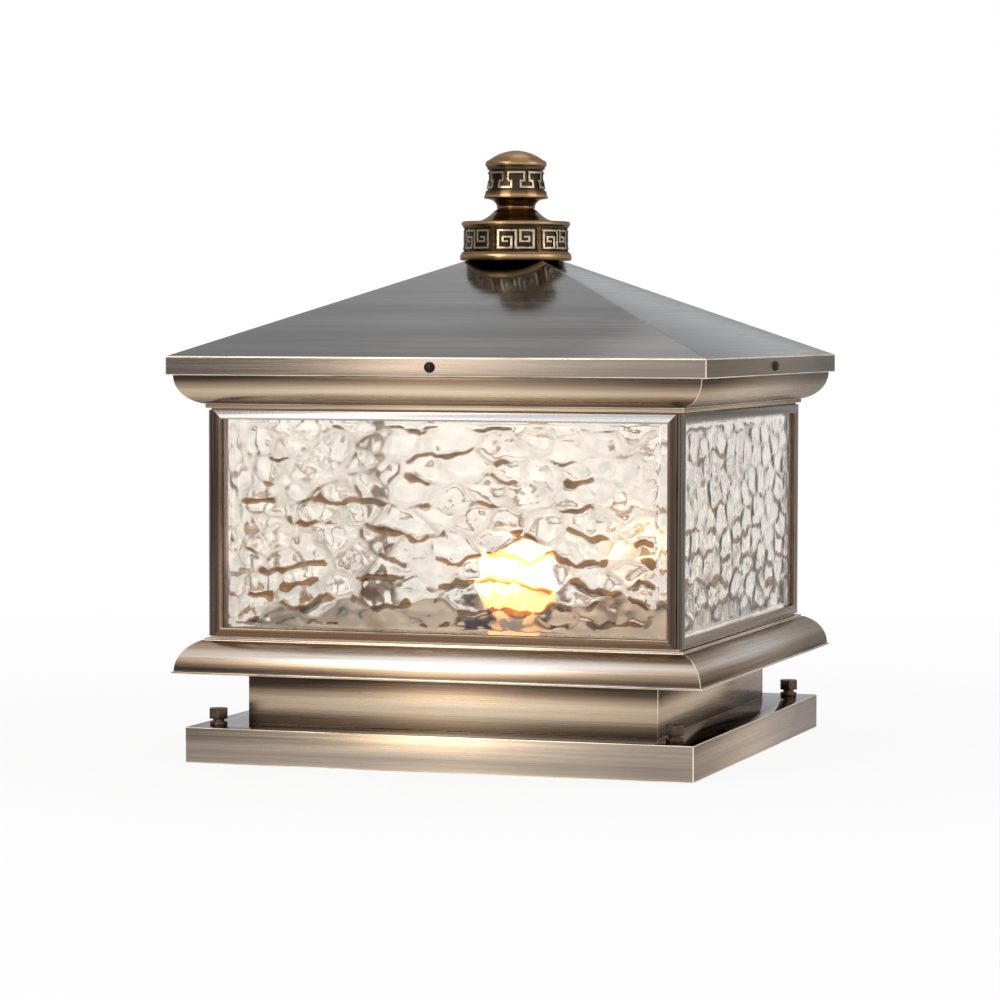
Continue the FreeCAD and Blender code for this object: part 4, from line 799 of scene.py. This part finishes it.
def make_stage():
    bm = bmesh.new()
    bmesh.ops.create_circle(bm, cap_ends=True, segments=64, radius=FLOOR_RADIUS)
    mesh = bpy.data.meshes.new("pale_floor")
    bm.to_mesh(mesh)
    bm.free()
    floor = bpy.data.objects.new("pale_floor", mesh)
    bpy.context.scene.collection.objects.link(floor)
    finish = Finish(bpy.data.materials.new("pale_floor"))
    reach = finish.node("ShaderNodeVectorMath", {"operation": "LENGTH"}, {0: finish.place()}, "Value")
    way = finish.node("ShaderNodeVectorMath", {"operation": "NORMALIZE"}, {0: finish.place()}, "Vector")
    white, gloss = seen_white(finish)
    far = reach.ranged(FADE_NEAR, FADE_FAR, 0.0, 1.0)
    tone = 1 - gloss * far * (1 - studio_tone(finish, way))
    share = (far * (1 - FLOOR_NEAR_SHARE) + FLOOR_NEAR_SHARE) * (white + gloss)
    matt = finish.node("ShaderNodeBsdfDiffuse", None, {"Color": (0.9, 0.9, 0.9, 1.0)})
    pale = finish.node("ShaderNodeEmission", None, {"Color": (1.0, 1.0, 1.0, 1.0), "Strength": tone})
    finish.end(finish.node("ShaderNodeMixShader", None, {0: share, 1: matt, 2: pale}))
    mesh.materials.append(finish.owner)

    world = bpy.data.worlds.new("white_studio")
    bpy.context.scene.world = world
    sky = Finish(world)
    white, gloss = seen_white(sky)
    way = sky.node("ShaderNodeTexCoord", output="Generated")
    strength = white * (1.0 - AMBIENT) + gloss * (studio_tone(sky, way) - AMBIENT) + AMBIENT
    back = sky.node("ShaderNodeBackground", None, {"Color": (1.0, 1.0, 1.0, 1.0), "Strength": strength})
    sky.end(back, "ShaderNodeOutputWorld")


def make_lamp(name, place, target, width, height, power, colour):
    data = bpy.data.lights.new(name, "AREA")
    data.shape = "RECTANGLE"
    data.size, data.size_y = width, height
    data.energy = power
    data.color = colour
    lamp = bpy.data.objects.new(name, data)
    lamp.location = place
    lamp.rotation_euler = (Vector(target) - Vector(place)).to_track_quat("-Z", "Y").to_euler()
    lamp.visible_camera = False
    bpy.context.scene.collection.objects.link(lamp)


CAMERA_TURN, CAMERA_REACH, CAMERA_HEIGHT = math.radians(17.54), 2.0998, 0.2397
CAMERA_PITCH, CAMERA_ROLL, CAMERA_SIDE, CAMERA_LENS = math.radians(-2.765), math.radians(0.125), 0.0041, 134.12


def make_camera():
    data = bpy.data.cameras.new("camera")
    data.lens = CAMERA_LENS
    data.clip_start, data.clip_end = 0.05, 50.0
    camera = bpy.data.objects.new("camera", data)
    look = CAMERA_TURN + CAMERA_SIDE
    ahead = Vector((-math.sin(look) * math.cos(CAMERA_PITCH), math.cos(look) * math.cos(CAMERA_PITCH),
                    math.sin(CAMERA_PITCH)))
    right = Vector((math.cos(look), math.sin(look), 0))
    up = right.cross(ahead)
    turned_right = right * math.cos(CAMERA_ROLL) + up * math.sin(CAMERA_ROLL)
    turned_up = up * math.cos(CAMERA_ROLL) - right * math.sin(CAMERA_ROLL)
    place = Vector((math.sin(CAMERA_TURN) * CAMERA_REACH, -math.cos(CAMERA_TURN) * CAMERA_REACH, CAMERA_HEIGHT))
    camera.matrix_world = Matrix.Translation(place) @ Matrix((turned_right, turned_up, -ahead)).transposed().to_4x4()
    bpy.context.scene.collection.objects.link(camera)
    bpy.context.scene.camera = camera


make_base()
make_neck()
make_skirt()
make_cornice()
make_roof()
make_finial()
for turn, side in enumerate(SIDES):
    make_pane(side, turn)
make_softened()
finish_nodes()
make_stage()
make_lamp("front_light", (-0.9, -1.9, 1.5), (0, 0, 0.16), 1.4, 1.0, 14.0, (1.0, 0.97, 0.93))
make_lamp("right_light", (2.0, -0.2, 1.0), (0, 0, 0.16), 1.2, 1.2, 5.0, (0.95, 0.97, 1.0))
make_lamp("top_light", (0.2, 0.6, 2.2), (0, 0, 0.16), 1.6, 1.6, 8.0, (1.0, 1.0, 1.0))
make_lamp("warm_panel", (-0.47, -1.42, 0.32), (0, 0, 0.16), 0.34, 0.62, 1.7, (1.0, 0.84, 0.64))
make_camera()
bpy.context.scene.view_settings.view_transform = "Standard"
